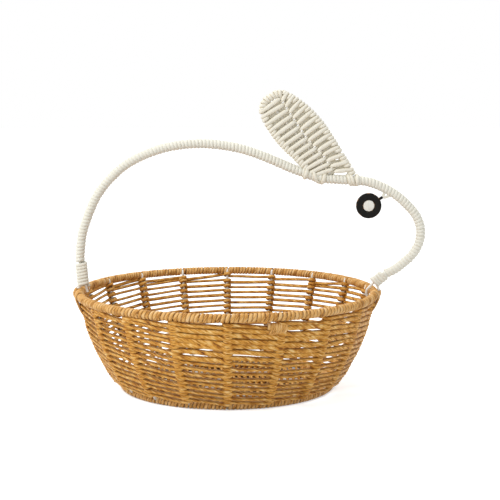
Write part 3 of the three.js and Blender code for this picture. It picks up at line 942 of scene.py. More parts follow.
    def row_place(self, index: int) -> tuple[float, float]:
        """Returns a CAD row's radius at the stakes and its height."""
        low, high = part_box(f"wall_row_{index + 1:02d}")
        return high.y / MM - self.row_edge, (low.z + high.z) / 2 / MM

    def build(self, wire: Material, twine: Material, wound: Material) -> None:
        """Builds the bowl's pieces and dresses them.

        Args:
            wire: The finish of the wires.
            twine: The finish of the rows and the base.
            wound: The finish of the wound twine.
        """
        self.build_wires(wire)
        self.build_windings(wound)
        self.build_rows(twine)
        self.build_base(twine)

    def ring(self, radius: float, height: float, count: int = 144) -> Lay:
        """Lays a closed ring round the basket's axis.

        Args:
            radius: Its radius.
            height: Its height.
            count: How many points it has.

        Returns:
            The ring's lay.
        """
        a = np.arange(count) * FULL_TURN / count
        points = np.stack([radius * np.cos(a), radius * np.sin(a), np.full(count, height)], axis=1)
        return lay_facing(points, UP, True)

    def build_wires(self, wire: Material) -> None:
        """Builds the wire rings, the stakes and the cross wires.

        Args:
            wire: Their finish.
        """
        rng = self.rng
        for name, radius, height, wire_radius, node in (
            ("rim_ring_wire", self.rim_radius, self.rim_height, self.rim_wire, "rim_wire"),
            ("foot_ring_wire", self.foot_radius, self.foot_height, self.foot_wire, "base_ring_wire"),
        ):
            piece = strand_piece(name, [self.ring(radius, height)], round_section(wire_radius), rng)
            dress(piece, wire, Body.BASKET, Slot.COATED_WIRE, node)
        profile = self.profile()
        # A stake leaves the wall's profile at this height and runs up through the rim's winding
        climb_start = self.rim_height - 7.5
        below = profile[profile[:, 1] < climb_start]
        climb = np.array([(self.rim_radius - inward, self.rim_height + up) for inward, up in self.climb])
        knot_every, spacing = 12, 3.2
        line = respaced(smooth_line(np.vstack([climb, below[::knot_every], below[-1:]]), 0.5), spacing)
        for index, angle in enumerate(self.stake_angles()):
            out = np.array([math.cos(angle), math.sin(angle), 0.0])
            points = line[:, :1] * out + line[:, 1:] * UP
            side = np.array([-out[1], out[0], 0.0])
            section = round_section(self.stake_radius)
            piece = strand_piece(f"stake_wire_{index + 1:02d}", [lay_facing(points, side)], section, rng)
            dress(piece, wire, Body.BASKET, Slot.COATED_WIRE, f"stake_{index + 1:02d}")
        clearance = 0.3
        reach = self.foot_radius - self.foot_wire - clearance - self.cross_wire / 2
        for index, share in enumerate(self.cross_shares):
            y = share * self.foot_radius
            half = math.sqrt(reach**2 - y**2)
            points = np.array([(x, y, self.cross_height) for x in np.linspace(-half, half, 25)])
            section = round_section(self.cross_wire)
            piece = strand_piece(f"cross_wire_{index + 1:02d}", [lay_facing(points, UP)], section, rng)
            dress(piece, wire, Body.BASKET, Slot.COATED_WIRE, f"base_wire_{index + 1:02d}")

    def build_windings(self, wound: Material) -> None:
        """Builds the twine wound on the rim and on the foot, and the short lashings.

        Args:
            wound: Its finish.
        """
        rim_section, foot_section = Section(3.7, 2.3), Section(3.7, 2.1)
        rim = RingWinding(
            ring_radius=self.rim_radius, height=self.rim_height, wire_radius=self.rim_wire,
            thickness=rim_section.thickness, bay_turns=(15, 14, 13), stake_room=4.7, clear_side=0.0,
            slant=0.2,
        )
        # The strand's tail lies along the wire, and shows where the winding leaves a gap
        tail_out, tail_drop = 2.1, 0.4
        tail = self.ring(self.rim_radius + tail_out, self.rim_height - tail_drop)
        lays = [rim.lay(self.stake_count, self.rng), tail]
        piece = strand_piece("rim_winding", lays, rim_section, self.rng)
        dress(piece, wound, Body.BASKET, Slot.TWINE, "rim_wrap")
        foot = RingWinding(
            ring_radius=self.foot_radius, height=self.foot_height, wire_radius=self.foot_wire,
            thickness=foot_section.thickness, bay_turns=(10, 9, 10), stake_room=4.6, clear_side=0.5,
            slant=0.1,
        )
        piece = strand_piece("foot_winding", [foot.lay(self.stake_count, self.rng)], foot_section, self.rng)
        rest_on_floor(piece)
        dress(piece, wound, Body.BASKET, Slot.TWINE, "base_ring_wrap")
        for name, angles, turns, height, up, out in self.lashings:
            pitch = math.radians(angles[1] - angles[0]) * self.rim_radius / turns
            lay = self.lashing(angles, turns, height, up, out)
            # Its turns overlap by a third of their pitch and lie flat on what they bind
            flat = Section(width=1.3 * pitch, thickness=0.56 * out)
            piece = strand_piece(name, [lay], flat, self.rng)
            dress(piece, wound, Body.BASKET, Slot.TWINE)

    def knot_frame(self, radius: float, height: float, angle: float) -> tuple[Array, ...]:
        """Finds a stake's middle at a row, with the stake's way up, the way out and the way on.

        Args:
            radius: The row's radius.
            height: The row's height.
            angle: The stake's angle.

        Returns:
            The point, and the three directions.
        """
        profile = self.profile()
        nearest = int(np.argmin(np.hypot(profile[:, 0] - radius, profile[:, 1] - height)))
        nearest = min(max(nearest, 1), len(profile) - 2)
        down = unit(profile[nearest + 1] - profile[nearest - 1])
        out2 = np.array([-down[1], down[0]])
        radial = np.array([math.cos(angle), math.sin(angle), 0.0])
        middle2 = np.array([radius, height]) - out2 * self.row_offset
        middle = radial * middle2[0] + UP * middle2[1]
        up = -(radial * down[0] + UP * down[1])
        out = radial * out2[0] + UP * out2[1]
        onward = np.array([math.sin(angle), -math.cos(angle), 0.0])
        return middle, up, out, onward

    def growth(self, angle: float) -> float:
        """Returns how thick the twine lies at an angle, from 1 at the back."""
        return 1 + self.front_growth * (1 - math.sin(angle)) / 2

    def row_lay(
        self,
        radius: float,
        height: float,
        angles: list[float],
        closed: bool,
        rng: Random,
        unruly: float,
        drift: Pairs,
        spread: Pairs = ((0, 0.0), (360, 0.0)),
    ) -> Lay:
        """Lays a strand from stake to stake, with one full turn round each of them.

        Args:
            radius: The row's radius at the stakes.
            height: The row's height.
            angles: The stakes' angles in the order in which the strand meets them.
            closed: Whether the last stake leads to the first.
            rng: The source of chance.
            unruly: How far a stretch may stray from its row at the back, in millimetres.
            drift: How far the row lies above its place at some angles, in degrees and millimetres.
            spread: How much wider than round the strand is pressed at some angles.

        Returns:
            The strand's lay.
        """
        half = math.pi / self.stake_count
        knot_steps, stretch_steps = 14, 9
        # Towards the front the twine strays up to about three times as far as at the back
        knot_unruly, stretch_unruly = 2.2, 2.4
        # A knot slants by this share of the strand's size to each side of its middle, is broader
        # behind the stake than in front of it, and is pressed a little into the stake
        knot_climb, knot_spread, knot_swell, bite = 0.44, 1.08, 0.12, 0.1
        frames = []
        for angle in angles:
            to_front = (self.growth(angle) - 1) / self.front_growth
            lift = rng.uniform(-0.5, 0.5) * unruly * (1 + knot_unruly * to_front)
            middle, up, out, onward = self.knot_frame(radius, height, angle)
            lift += float(np.interp(math.degrees(angle) % 360, *zip(*drift)))
            size = self.strand * self.growth(angle)
            reach = self.stake_radius + size / 2 - bite
            frames.append((middle + up * lift, up, out, onward, size, reach))
        points, outs, sizes, spreads = [], [], [], []
        for index, (middle, up, out, onward, size, reach) in enumerate(frames):
            rise = size * knot_climb
            for phi in np.linspace(-half, FULL_TURN + half, knot_steps + 1):
                share = (phi + half) / (FULL_TURN + 2 * half)
                away = out * math.cos(phi) + onward * math.sin(phi)
                points.append(middle + away * reach + up * rise * (1 - 2 * share))
                outs.append(away)
                sizes.append(size)
                spreads.append(knot_spread - knot_swell * math.cos(phi))
            if index == len(frames) - 1 and not closed:
                break
            after = frames[(index + 1) % len(frames)]
            start = points[-1]
            away = after[2] * math.cos(-half) + after[3] * math.sin(-half)
            end = after[0] + away * after[5] + after[1] * after[4] * knot_climb
            to_front = (self.growth(angles[index]) - 1) / self.front_growth
            loose = unruly * (1 + stretch_unruly * to_front)
            sag, swing, bow = (rng.uniform(*limits) * loose for limits in (SAG, SWING, BOW))
            halfway = (math.degrees(angles[index]) - 180 / self.stake_count) % 360
            pressed = float(np.interp(halfway, *zip(*spread)))
            loosened = rng.uniform(*LOOSENED) if pressed else 0.0
            for share in np.arange(1, stretch_steps) / stretch_steps:
                hump = 4 * share * (1 - share)
                stray = sag * hump + swing * math.sin(FULL_TURN * share)
                points.append(start + (end - start) * share + up * stray + out * bow * hump)
                outs.append(out)
                sizes.append(size + (after[4] - size) * share)
                spreads.append(1.0 + (pressed + loosened) * min(1.0, 2 * hump))
        line = np.array(points)
        fullness = np.array(sizes) / self.strand * (1 + wander(len(line), 0.07, rng, 9))
        return Lay(line, np.array(outs), closed, fullness, np.array(spreads))

    def build_rows(self, twine: Material) -> None:
        """Builds the wall's rows, with the ragged first one under the rim.

        Args:
            twine: Their finish.
        """
        section = round_section(self.strand / 2)
        row_unruly, top_unruly, added_unruly = 0.4, 0.8, 0.3
        top_out, top_rise, added_out = 1.4, 5.6, 0.6
        clockwise = [math.pi / 2 - FULL_TURN * i / self.stake_count for i in range(self.stake_count)]
        for index in range(self.row_count):
            rng = Random(100 + index)
            radius, height = self.row_place(index)
            spread = self.low_spread if index >= self.low_rows else self.high_spread
            lay = self.row_lay(radius, height, clockwise, True, rng, row_unruly, self.row_drift, spread)
            piece = strand_piece(f"wall_strand_{index + 1:02d}", [lay], section, rng)
            dress(piece, twine, Body.BASKET, Slot.TWINE, f"wall_row_{index + 1:02d}")
        rng = Random(99)
        radius, height = self.row_place(0)
        lays = []
        half = self.stake_count // 2
        back = clockwise[-(half // 2):] + clockwise[: half - half // 2]
        front = [angle - math.pi for angle in back]
        for angles in (back, front):
            place = (radius + top_out, height + top_rise)
            lays.append(self.row_lay(*place, angles, False, rng, top_unruly, self.top_drift))
        added = [math.radians(angle) for angle in (50, 30, 10, -10)]
        place = (radius + added_out, height)
        lays.append(self.row_lay(*place, added, False, rng, added_unruly, self.added_drift))
        piece = strand_piece("wall_strand_top", lays, section, rng)
        dress(piece, twine, Body.BASKET, Slot.TWINE)

    def lashing(
        self, angles: tuple[float, float], turns: float, height: float, up: float, out: float
    ) -> Lay:
        """Winds a strand upright round a short stretch of the wall.

        Args:
            angles: Where it starts and ends, in degrees round the basket.
            turns: How many turns it makes.
            height: The height of its middle.
            up: How far it reaches up and down from there.
            out: How far it reaches out and in.

        Returns:
            The strand's lay.
        """
        outside, steps = 1.6, 20
        t = np.linspace(0, turns, round(turns * steps) + 1)
        profile = self.profile()[::-1]
        points, outs = [], []
        for turn, angle in zip(t, np.radians(np.interp(t, (0, turns), angles))):
            psi = FULL_TURN * turn
            rise = up * math.sin(psi)
            radial = np.array([math.cos(angle), math.sin(angle), 0.0])
            radius = float(np.interp(height + rise, profile[:, 1], profile[:, 0])) + outside
            points.append(radial * (radius + out * math.cos(psi)) + UP * (height + rise))
            outs.append(radial * math.cos(psi) + UP * math.sin(psi))
        return Lay(np.array(points), np.array(outs))

    def build_base(self, twine: Material) -> None:
        """Builds the parallel strands of the base, each with a turn round every cross wire.

        Args:
            twine: Their finish.
        """
        rng = Random(55)
        reach = self.cross_wire + self.base_strand / 2
        # A turn slants by this to each side, and none is made this near to a strand's end
        rise, end_room = self.base_strand * 0.45, 3
        stray, longest_span = 0.4, 6.0
        lays = []
        count = int(self.base_reach / self.base_pitch)
        for column in range(-count, count + 1):
            x = column * self.base_pitch + rng.uniform(-stray, stray)
            half = math.sqrt(max(self.base_reach**2 - x**2, 0))
            low = self.cross_height - reach
            points, outs = [(x - rise, -half, low)], [-UP]
            for share in self.cross_shares:
                y = share * self.foot_radius
                if abs(y) > half - end_room:
                    continue
                for phi in np.linspace(0, FULL_TURN, 13):
                    side = rise * (2 * phi / FULL_TURN - 1)
                    out = np.array([0.0, math.sin(phi), -math.cos(phi)])
                    points.append((x + side, y + out[1] * reach, self.cross_height + out[2] * reach))
                    outs.append(out)
            points.append((x + rise, half, low))
            outs.append(-UP)
            line, sides = fill_gaps(np.array(points), np.array(outs), longest_span)
            lays.append(Lay(line, sides, False, 1 + wander(len(line), 0.06, rng)))
        piece = strand_piece("base_strands", lays, round_section(self.base_strand / 2), rng)
        rest_on_floor(piece)
        dress(piece, twine, Body.BASKET, Slot.TWINE, "base_weave")


def fill_gaps(points: Array, outs: Array, step: float) -> tuple[Array, Array]:
    """Adds points on the long straight stretches of a line.

    Args:
        points: The line's points.
        outs: The outward direction at each.
        step: The longest stretch to leave.

    Returns:
        The line's points and their outward directions.
    """
    line, sides = [points[0]], [outs[0]]
    for i in range(1, len(points)):
        parts = max(1, math.ceil(np.linalg.norm(points[i] - points[i - 1]) / step))
        for part in range(1, parts + 1):
            share = part / parts
            line.append(points[i - 1] + (points[i] - points[i - 1]) * share)
            sides.append(outs[i - 1] + (outs[i] - outs[i - 1]) * share)
    return np.array(line), np.array(sides)


def rest_on_floor(piece: Object) -> None:
    """Flattens what lies under the floor, as the basket's weight does.

    Args:
        piece: The piece, whose mesh is changed.
    """
    mesh = piece.data
    flat = np.empty(len(mesh.vertices) * 3, np.float32)
    mesh.vertices.foreach_get("co", flat)
    flat = flat.reshape(-1, 3)
    flat[:, 2] = np.maximum(flat[:, 2], 0.0)
    mesh.vertices.foreach_set("co", flat.ravel())
    mesh.update()


# Handle


@dataclass(frozen=True)
class HandleEnd:
    """One end of the handle's wire, from its shank round its loop to its tail.

    Attributes:
        side: -1 at the left end and 1 at the right.
        angle: The shank's angle from the level, in degrees.
        offset: From the loop's middle to the middle of the two legs.
        turns: Turns of the lashing.
        loop_radius: The loop's radius.
        loop_height: The height of the loop's middle.
        loop_reach: How far out the loop's middle is.
        join: Where the legs meet the loop.
        corner: How far back their corners are rounded.
        start: Where the lashing starts.
        pitch: The lashing's pitch.
        strand: The lashing strand's radius in the CAD frame.
        spacing: From one leg to the other.
        fullness: How far the lashing stands off the legs.
        aside: How far it lies to the inner side of them.
    """

    side: int
    angle: float
    offset: float
    turns: float
    loop_radius: float = 6.6
    loop_height: float = 93.3
    loop_reach: float = 146.5
    join: float = 8.6
    corner: float = 2.2
    start: float = 11.0
    pitch: float = 3.2
    strand: float = 1.35
    spacing: float = 2.9
    fullness: float = 0.7
    aside: float = 0.8

    @property
    def along(self) -> Array:
        """The way up the shank."""
        a = math.radians(self.angle)
        return np.array([math.cos(a), 0.0, math.sin(a)])

    @property
    def inward(self) -> Array:
        """The way to the inner side."""
        a = math.radians(self.angle)
        return np.array([-self.side * math.sin(a), 0.0, self.side * math.cos(a)])

    def at(self, along: float, inward: float) -> Array:
        """Returns the point at a place along and across the shank."""
        centre = np.array([self.side * self.loop_reach, 0.0, self.loop_height])
        return centre + self.along * along + self.inward * inward

    @property
    def shank(self) -> float:
        """The shank's place across."""
        return self.offset + self.side * self.spacing / 2

    @property
    def tail(self) -> float:
        """The tail's place across."""
        return self.offset - self.side * self.spacing / 2

    @property
    def lashing_top(self) -> float:
        """Where the lashing ends."""
        return self.start + self.turns * self.pitch + 2 * self.strand

    @property
    def top(self) -> Array:
        """Where the shank meets the handle's arch."""
        return self.at(self.lashing_top + 0.3, self.shank)

    def touch(self, lane: float, way: int) -> float:
        """Returns the angle at which a straight run from a leg's join touches the loop."""
        span = math.acos(self.loop_radius / math.hypot(lane, self.join))
        return math.atan2(lane, self.join) + way * span

    def points(self) -> Array:
        """Draws the wire's line from the shank's top round the loop to the tail's end.

        Returns:
            Its points.
        """
        start = self.touch(self.shank, self.side)
        turn = self.touch(self.tail, -self.side) - start + self.side * FULL_TURN
        loop = np.array([
            self.at(self.loop_radius * math.cos(a), self.loop_radius * math.sin(a))
            for a in start + turn * np.linspace(0, 1, 49)
        ])
        tail_top = self.at(self.lashing_top + 0.3, self.tail)
        first = bend(self.top, self.at(self.join, self.shank), loop[0], self.corner)
        last = bend(loop[-1], self.at(self.join, self.tail), tail_top, self.corner)
        end = self.at(self.lashing_top - self.spacing, self.tail)
        return np.vstack([self.top[None], first, loop[1:-1], last, end[None]])


@dataclass
class Handle:
    """The handle: its wire with a loop at each end, its winding and the two lashings.

    Lengths are in millimetres.

    Attributes:
        rim_radius: From the basket's axis to the rim wire.
        rim_height: The rim wire's height.
        height: From the rim wire to the handle's highest point.
        overhang: How far the nose end goes past the rim wire.
        wire: The wire's radius.
        reach: From the wire's middle to the winding's outside in the CAD frame.
        pitch: The winding's pitch.
        strand_width: The wound strand's width.
        loft: How much thicker than in the CAD frame it is.
        shares: Points of the outline, as shares of the rim's radius and of the overhang, which
            make up the place across, and of the height.
        left: The left end.
        right: The right end.
        seat_spans: Spans into which the handle is parted to find a seat on it.
        rng: The source of chance.
    """

    rim_radius: float = 147.0
    rim_height: float = 94.6
    height: float = 148.8
    overhang: float = 46.75
    wire: float = 1.3
    reach: float = 4.6
    pitch: float = 3.55
    strand_width: float = 4.3
    loft: float = 0.35
    shares: tuple[tuple[float, float, float], ...] = (
        (-1, 0, 0.2628), (-0.9922, 0, 0.3434), (-0.9769, 0, 0.4227), (-0.8857, 0, 0.6445),
        (-0.7857, 0, 0.7722), (-0.6592, 0, 0.875), (-0.4337, 0, 0.9684), (-0.1912, 0, 1),
        (0.0514, 0, 0.9751), (0.2075, 0, 0.9288), (0.3595, 0, 0.8676), (0.434, 0, 0.8354),
        (0.5122, 0, 0.8065), (0.6259, 0, 0.7702), (0.7497, 0, 0.7594),
        (0.9129, 0, 0.75), (0.9932, 0, 0.7319), (1, 0.43, 0.6599), (1, 0.8, 0.5538), (1, 0.939, 0.4872),
        (1, 1, 0.4086), (1, 0.9626, 0.3273), (1, 0.8374, 0.2544), (1, 0.646, 0.1969), (1, 0.4278, 0.1452),
    )
    left: HandleEnd = HandleEnd(-1, 95, 3.53, 5.625, fullness=0.9, aside=-0.7)
    right: HandleEnd = HandleEnd(1, 38.65, 6.4, 2)
    seat_spans: int = 42
    rng: Random = field(default_factory=lambda: Random(31))

    def arch(self) -> Array:
        """Draws the handle's middle line between the tops of its two lashings.

        Returns:
            Its points.
        """
        between = [
            (across * self.rim_radius + over * self.overhang, 0.0, self.rim_height + up * self.height)
            for across, over, up in self.shares
        ]
        return respaced(smooth_line(np.array([self.left.top, *between, self.right.top]), 0.5), 1.5)

    def seat(self, share: float, lean: float) -> tuple[Array, Array, Array]:
        """Finds a seat on the handle's middle line.

        Args:
            share: The share of the way round.
            lean: The angle from the handle's way to what sits there, in degrees.

        Returns:
            The seat's point, the handle's way there, and the way that leans from it.
        """
        line = self.arch()
        length = distances(line)[-1]
        spots = at_distance(line, np.linspace(0, length, self.seat_spans + 1))
        whole = share * self.seat_spans
        before = int(whole)
        point = spots[before] + (spots[before + 1] - spots[before]) * (whole - before)
        nearest = round(whole)
        way = unit(spots[nearest + 1] - spots[nearest - 1])
        a = math.radians(lean)
        out = way * math.cos(a) + np.array([-way[2], 0.0, way[0]]) * math.sin(a)
        return point, way, out

    def build(self, wire: Material, cream: Material, twine: Material) -> None:
        """Builds the handle's pieces and dresses them.

        Args:
            wire: The wire's finish.
            cream: The finish of the winding and the lashings.
            twine: The finish of the loops' twine.
        """
        arch = self.arch()
        line = np.vstack([self.left.points()[::-1][:-1], arch[1:-1], self.right.points()[1:]])
        section = round_section(self.wire, sides=10)
        piece = strand_piece("handle_looped_wire", [lay_facing(line, BACK)], section, self.rng)
        dress(piece, wire, Body.HANDLE, Slot.COATED_WIRE, "handle_wire")
        strand = self.reach - self.wire + self.loft
        lay = wound_along(arch, self.wire + strand / 2, self.pitch, self.rng)
        piece = strand_piece("handle_winding", [lay], Section(self.strand_width, strand), self.rng)
        dress(piece, cream, Body.HANDLE, Slot.CREAM_STRAND, "handle_wrap")
        for name, end, node in (
            ("handle_lashing_left", self.left, "handle_binding_left"),
            ("handle_lashing_right", self.right, "handle_binding_right"),
        ):
            section = Section(width=3.7, thickness=2.7)
            piece = strand_piece(name, [self.lashing(end)], section, self.rng)
            dress(piece, cream, Body.HANDLE, Slot.CREAM_STRAND, node)
        for name, end, span in (
            ("loop_twine_left", self.left, (125.0, 375.0)),
            ("loop_twine_right", self.right, (-150.0, 20.0)),
        ):
            section = Section(width=3.0, thickness=0.55)
            piece = strand_piece(name, [self.loop_twine(end, span)], section, self.rng)
            dress(piece, twine, Body.HANDLE, Slot.TWINE)

    def lashing(self, end: HandleEnd) -> Lay:
        """Winds a strand round both legs of a looped end.

        Args:
            end: The looped end.

        Returns:
            The strand's lay.
        """
        # The turns go a little square round the two legs, and flare where the legs part
        squareness, flare_share = 0.8, 0.8
        # From the legs' surface to the strand's middle, beside the legs and before them
        across_room, deep_room = 1.25, 1.4
        low, high = 7.7, end.lashing_top - 1.0
        turns = (high - low) / end.pitch
        t = np.linspace(0, turns, round(turns * 20) + 1)
        across, way = end.inward, end.along
        deep = np.cross(way, across)
        psi = FULL_TURN * t
        climb = low + t * end.pitch
        flare = np.maximum(end.join - climb, 0.0) * flare_share
        half_across = end.spacing / 2 + self.wire + across_room + flare + end.fullness
        half_deep = self.wire + deep_room
        round_x = np.sign(np.cos(psi)) * np.abs(np.cos(psi)) ** squareness
        round_y = np.sign(np.sin(psi)) * np.abs(np.sin(psi)) ** squareness
        points = (
            end.at(0, end.offset + end.aside)
            + way * (climb + wander(len(t), 0.15, self.rng, 12))[:, None]
            + across * (half_across * round_x)[:, None]
            + deep * (half_deep * round_y)[:, None]
        )
        out = across * np.cos(psi)[:, None] + deep * np.sin(psi)[:, None]
        return Lay(points, out, False, 1 + wander(len(t), 0.04, self.rng, 10))

    def loop_twine(self, end: HandleEnd, span: tuple[float, float]) -> Lay:
        """Winds twine thinly round a part of a loop.

        Args:
            end: The looped end.
            span: The part's first and last angle from the level, in degrees.

        Returns:
            The strand's lay.
        """
        centre = np.array([end.side * end.loop_reach, 0.0, end.loop_height])
        arc = np.radians(np.linspace(*span, 61))
        spokes = np.stack([np.cos(arc), np.zeros(len(arc)), np.sin(arc)], axis=1)
        twine_lift, twine_pitch = 0.2, 2.3
        return wound_along(centre + spokes * end.loop_radius, self.wire + twine_lift, twine_pitch, self.rng)


# Ear


@dataclass
class Ear:
    """The woven ear: a bent wire outline and a middle wire with one strand woven over both.

    Lengths are in millimetres. Its own axes are the way along it, from the foot to the tip, and
    the way out, to the front edge; the rear edge lies the other way.

    Attributes:
        handle: The handle that it sits on.
        seat_share: The share of the way round the handle at which it sits.
        lean: The angle from the handle's way there to the ear, in degrees.
        rise: How far its foot lies off the handle's middle line.
        length: From the foot to the tip.
        rear_width: From its middle to the rear edge.
        front_width: From its middle to the front edge.
        wire: The wires' radius.
        strand_width: The woven strand's width.
        strand_thickness: Its thickness.
        wrap_pitch: From one turn round an edge wire to the next.
        first_row: The height at which the first near pass crosses the meeting line.
        row_pitch: From one such height to the next.
        shares: Points of the outline, as shares of the length and of the widths.
        front_falls: How far below its crossing each near pass leaves the front edge.
        rear_climbs: How far above its crossing each near pass leaves the rear edge.
        meeting: The line where both sides' passes meet, as heights and ways out.
        rear_binding: Points of the rear lashing: turn, place on the X axis, and slack.
        front_binding: Points of the front lashing.
        rng: The source of chance.
    """

    handle: Handle
    seat_share: float = 0.656
    lean: float = 128.55
    rise: float = 1.12
    length: float = 101.5
    rear_width: float = 22.15
    front_width: float = 20.5
    wire: float = 1.4
    strand_width: float = 3.7
    strand_thickness: float = 2.8
    wrap_pitch: float = 3.5
    first_row: float = 4.8
    row_pitch: float = 6.72
    shares: Pairs = (
        (0.08, -0.61), (0.24, -0.718), (0.39, -0.817), (0.54, -0.953), (0.71, -1), (0.85, -0.941),
        (0.945, -0.808), (0.999, -0.508), (1, -0.2), (0.996, 0.051), (0.97, 0.273), (0.919, 0.463),
        (0.832, 0.668), (0.672, 0.893), (0.51, 0.99), (0.416, 0.998), (0.33, 0.985), (0.15, 0.924),
        (0.01, 0.888), (-0.1, 0.839),
    )
    front_falls: tuple[float, ...] = (
        7.3, 5.7, 3.6, 1.6, 0.8, 0.3, 0.0, -0.3, -0.8, -1.6, -2.2, -2.8, -3.4, -2.5, 2.5,
    )
    rear_climbs: tuple[float, ...] = (
        6.0, 3.4, 1.9, 0.9, 0.6, 0.4, 0.3, 0.2, 0.0, -0.1, 0.0, 0.5, 2.0, 0.0, 0.0,
    )
    meeting: Pairs = ((0, 5.2), (25, 4.8), (45, 1.0), (60, 1.2), (90, 2.3))
    rear_binding: tuple[tuple[float, float, float], ...] = (
        (0.5, 77.8, 0.0), (1.0, 78.6, 0.2), (1.5, 82.6, 0.2), (1.75, 87.2, 0.5), (2.0, 92.9, 0.2),
        (2.5, 96.8, 0.2), (2.75, 96.0, 0.3), (3.0, 94.6, 0.5), (3.3, 94.6, 0.1),
    )
    front_binding: tuple[tuple[float, float, float], ...] = (
        (0.5, 119.3, 0.2), (0.75, 121.2, 0.4), (1.0, 123.9, 0.2), (1.5, 122.0, 0.4),
        (2.0, 127.0, 0.3), (2.5, 128.8, 0.4), (3.0, 129.6, 0.2),
    )
    rng: Random = field(default_factory=lambda: Random(47))

    def __post_init__(self) -> None:
        """Works out the ear's own axes and its outline."""
        seat, way, up = self.handle.seat(self.seat_share, self.lean)
        self.up = up
        self.front = np.cross(BACK, up)
        self.foot = seat + np.cross(way, BACK) * self.rise
        flat = np.array([
            (along * self.length, out * (self.rear_width if out < 0 else self.front_width))
            for along, out in self.shares
        ])
        self.outline = respaced(smooth_line(flat, 0.5), 0.6)
        self.tip = int(np.argmax(self.outline[:, 0]))

    def place(self, along: float, out: float, depth: float = 0.0) -> Array:
        """Returns a point of the ear's own axes; depth is towards the front of the picture."""
        return self.foot + self.up * along + self.front * out - BACK * depth

    def edge(self, along: float, side: int) -> tuple[Array, Array, float]:
        """Finds the outline at a height.

        Args:
            along: The height along the ear.
            side: -1 for the rear edge and 1 for the front one.

        Returns:
            The point in the ear's own two axes, the way out of the ear there, and the index on
            the outline.
        """
        line = self.outline
        rows = np.arange(self.tip + 1) if side < 0 else np.arange(len(line) - 1, self.tip - 1, -1)
        return self.outline_at(float(np.interp(along, line[rows, 0], rows)))

    def outline_at(self, index: float) -> tuple[Array, Array, float]:
        """Finds a place on the outline.

        Args:
            index: The index of one of its points, or a share of the way on to the next.

        Returns:
            The point, the way out of the ear there, and the index.
        """
        line = self.outline
        low = int(min(max(index, 0), len(line) - 2))
        point = line[low] + (line[low + 1] - line[low]) * (index - low)
        way = unit(line[min(low + 3, len(line) - 1)] - line[max(low - 2, 0)])
        return point, np.array([way[1], -way[0]]), index

    def spine_out(self, along: float) -> float:
        """Returns how far out the middle wire is at a height."""
        tip = self.outline[self.tip]
        return tip[1] * along / tip[0]

    def wrap(self, spot: Array, out2: Array, phi: float) -> tuple[Array, Array]:
        """Finds a point of a turn round an edge wire.

        Args:
            spot: The wire's middle, in the ear's own two axes.
            out2: The way out of the ear there, in the same axes.
            phi: The angle round the wire, from that way towards the near face.

        Returns:
            The point, and its outward direction.
        """
        away = self.up * out2[0] + self.front * out2[1]
        direction = away * math.cos(phi) - BACK * math.sin(phi)
        return self.place(spot[0], spot[1]) + direction * (self.wire + self.strand_thickness / 2), direction

    def edge_wraps(self, leave: float, turns: int, side: int) -> tuple[list, list]:
        """Takes the strand from the far face round an edge wire to the near face.

        Args:
            leave: The height at which it leaves to the near face.
            turns: Full turns that it makes on the way.
            side: -1 for the rear edge and 1 for the front one.

        Returns:
            The points, and the outward direction of each.
        """
        points, outs = [], []
        whole = turns + 0.5
        for t in np.linspace(0, whole, round(whole * 12) + 1):
            height = leave - (whole - t) * self.wrap_pitch
            spot, out2, _ = self.edge(height, side)
            point, direction = self.wrap(spot, out2, FULL_TURN * t - math.pi / 2)
            points.append(point)
            outs.append(direction)
        return points, outs

    def crossing(self, start: Array, goal: Array, at_meeting: float, side: int) -> tuple[list, list, list]:
        """Takes the strand over the near face and down to the far face, past the line where both
        sides' strands meet.

        Args:
            start: Where it leaves the edge wire.
            goal: Where it meets the other edge wire, on the far face.
            at_meeting: The height at which it crosses that line.
            side: The side that it comes from.

        Returns:
            The points between the two, and the outward direction and the spread of each.
        """
        depth = self.wire + self.strand_thickness / 2
        middle = float(np.interp(at_meeting, *zip(*self.meeting)))
        from_along, from_out = self.local(start)
        to_along, to_out = self.local(goal)
        # The dive to the far face starts this far before the meeting line and takes this long
        dive_start, dive_length = 3.2, 7.2
        steps = 22
        # How far it sinks on the way and bulges before it, as a share of the depth and in
        # millimetres, and how its spread changes on the near face, in the dive and on the far face
        sunk, bulged = 1.6, 0.3
        near_swell, dive_pinch, far_swell = 0.22, 0.2, 0.55
        points, outs, spreads = [], [], []
        for share in np.arange(1, steps) / steps:
            out = from_out + (to_out - from_out) * share
            passed = side * (middle - out)
            near = min(max((out - from_out) / (middle - from_out), 0.0), 1.0)
            far = min(max((out - middle) / (to_out - middle), 0.0), 1.0)
            along = from_along + (at_meeting - from_along) * near + (to_along - at_meeting) * far
            dive = smooth_step(min(max((passed + dive_start) / dive_length, 0.0), 1.0))
            bulge = math.sin(math.pi * near)
            half_dived = math.sin(math.pi * dive)
            points.append(self.place(along, out, depth * (1 - sunk * dive) + bulged * bulge))
            outs.append(-BACK * math.cos(math.pi * dive) + self.up * half_dived * 0.5)
            spread = 1 + near_swell * bulge * (1 - dive) - dive_pinch * half_dived + far_swell * dive
            spreads.append(spread)
        return points, outs, spreads

    def local(self, point: Array) -> tuple[float, float]:
        """Returns a point's height and way out in the ear's own axes."""
        offset = point - self.foot
        return float(offset @ self.up), float(offset @ self.front)

    def weave(self) -> Lay:
        """Lays the one strand that weaves the ear from its foot to its tip.

        Returns:
            The strand's lay.
        """
        met_front, front, met_rear, rear = self.heights()
        points, outs, spreads = [], [], []

        def turns_before(heights: list[float], k: int) -> int:
            """Returns the extra turns that fill the edge since the row before."""
            step = heights[k] - heights[k - 1] if k else self.row_pitch
            return max(0, round(step / self.wrap_pitch) - 1)

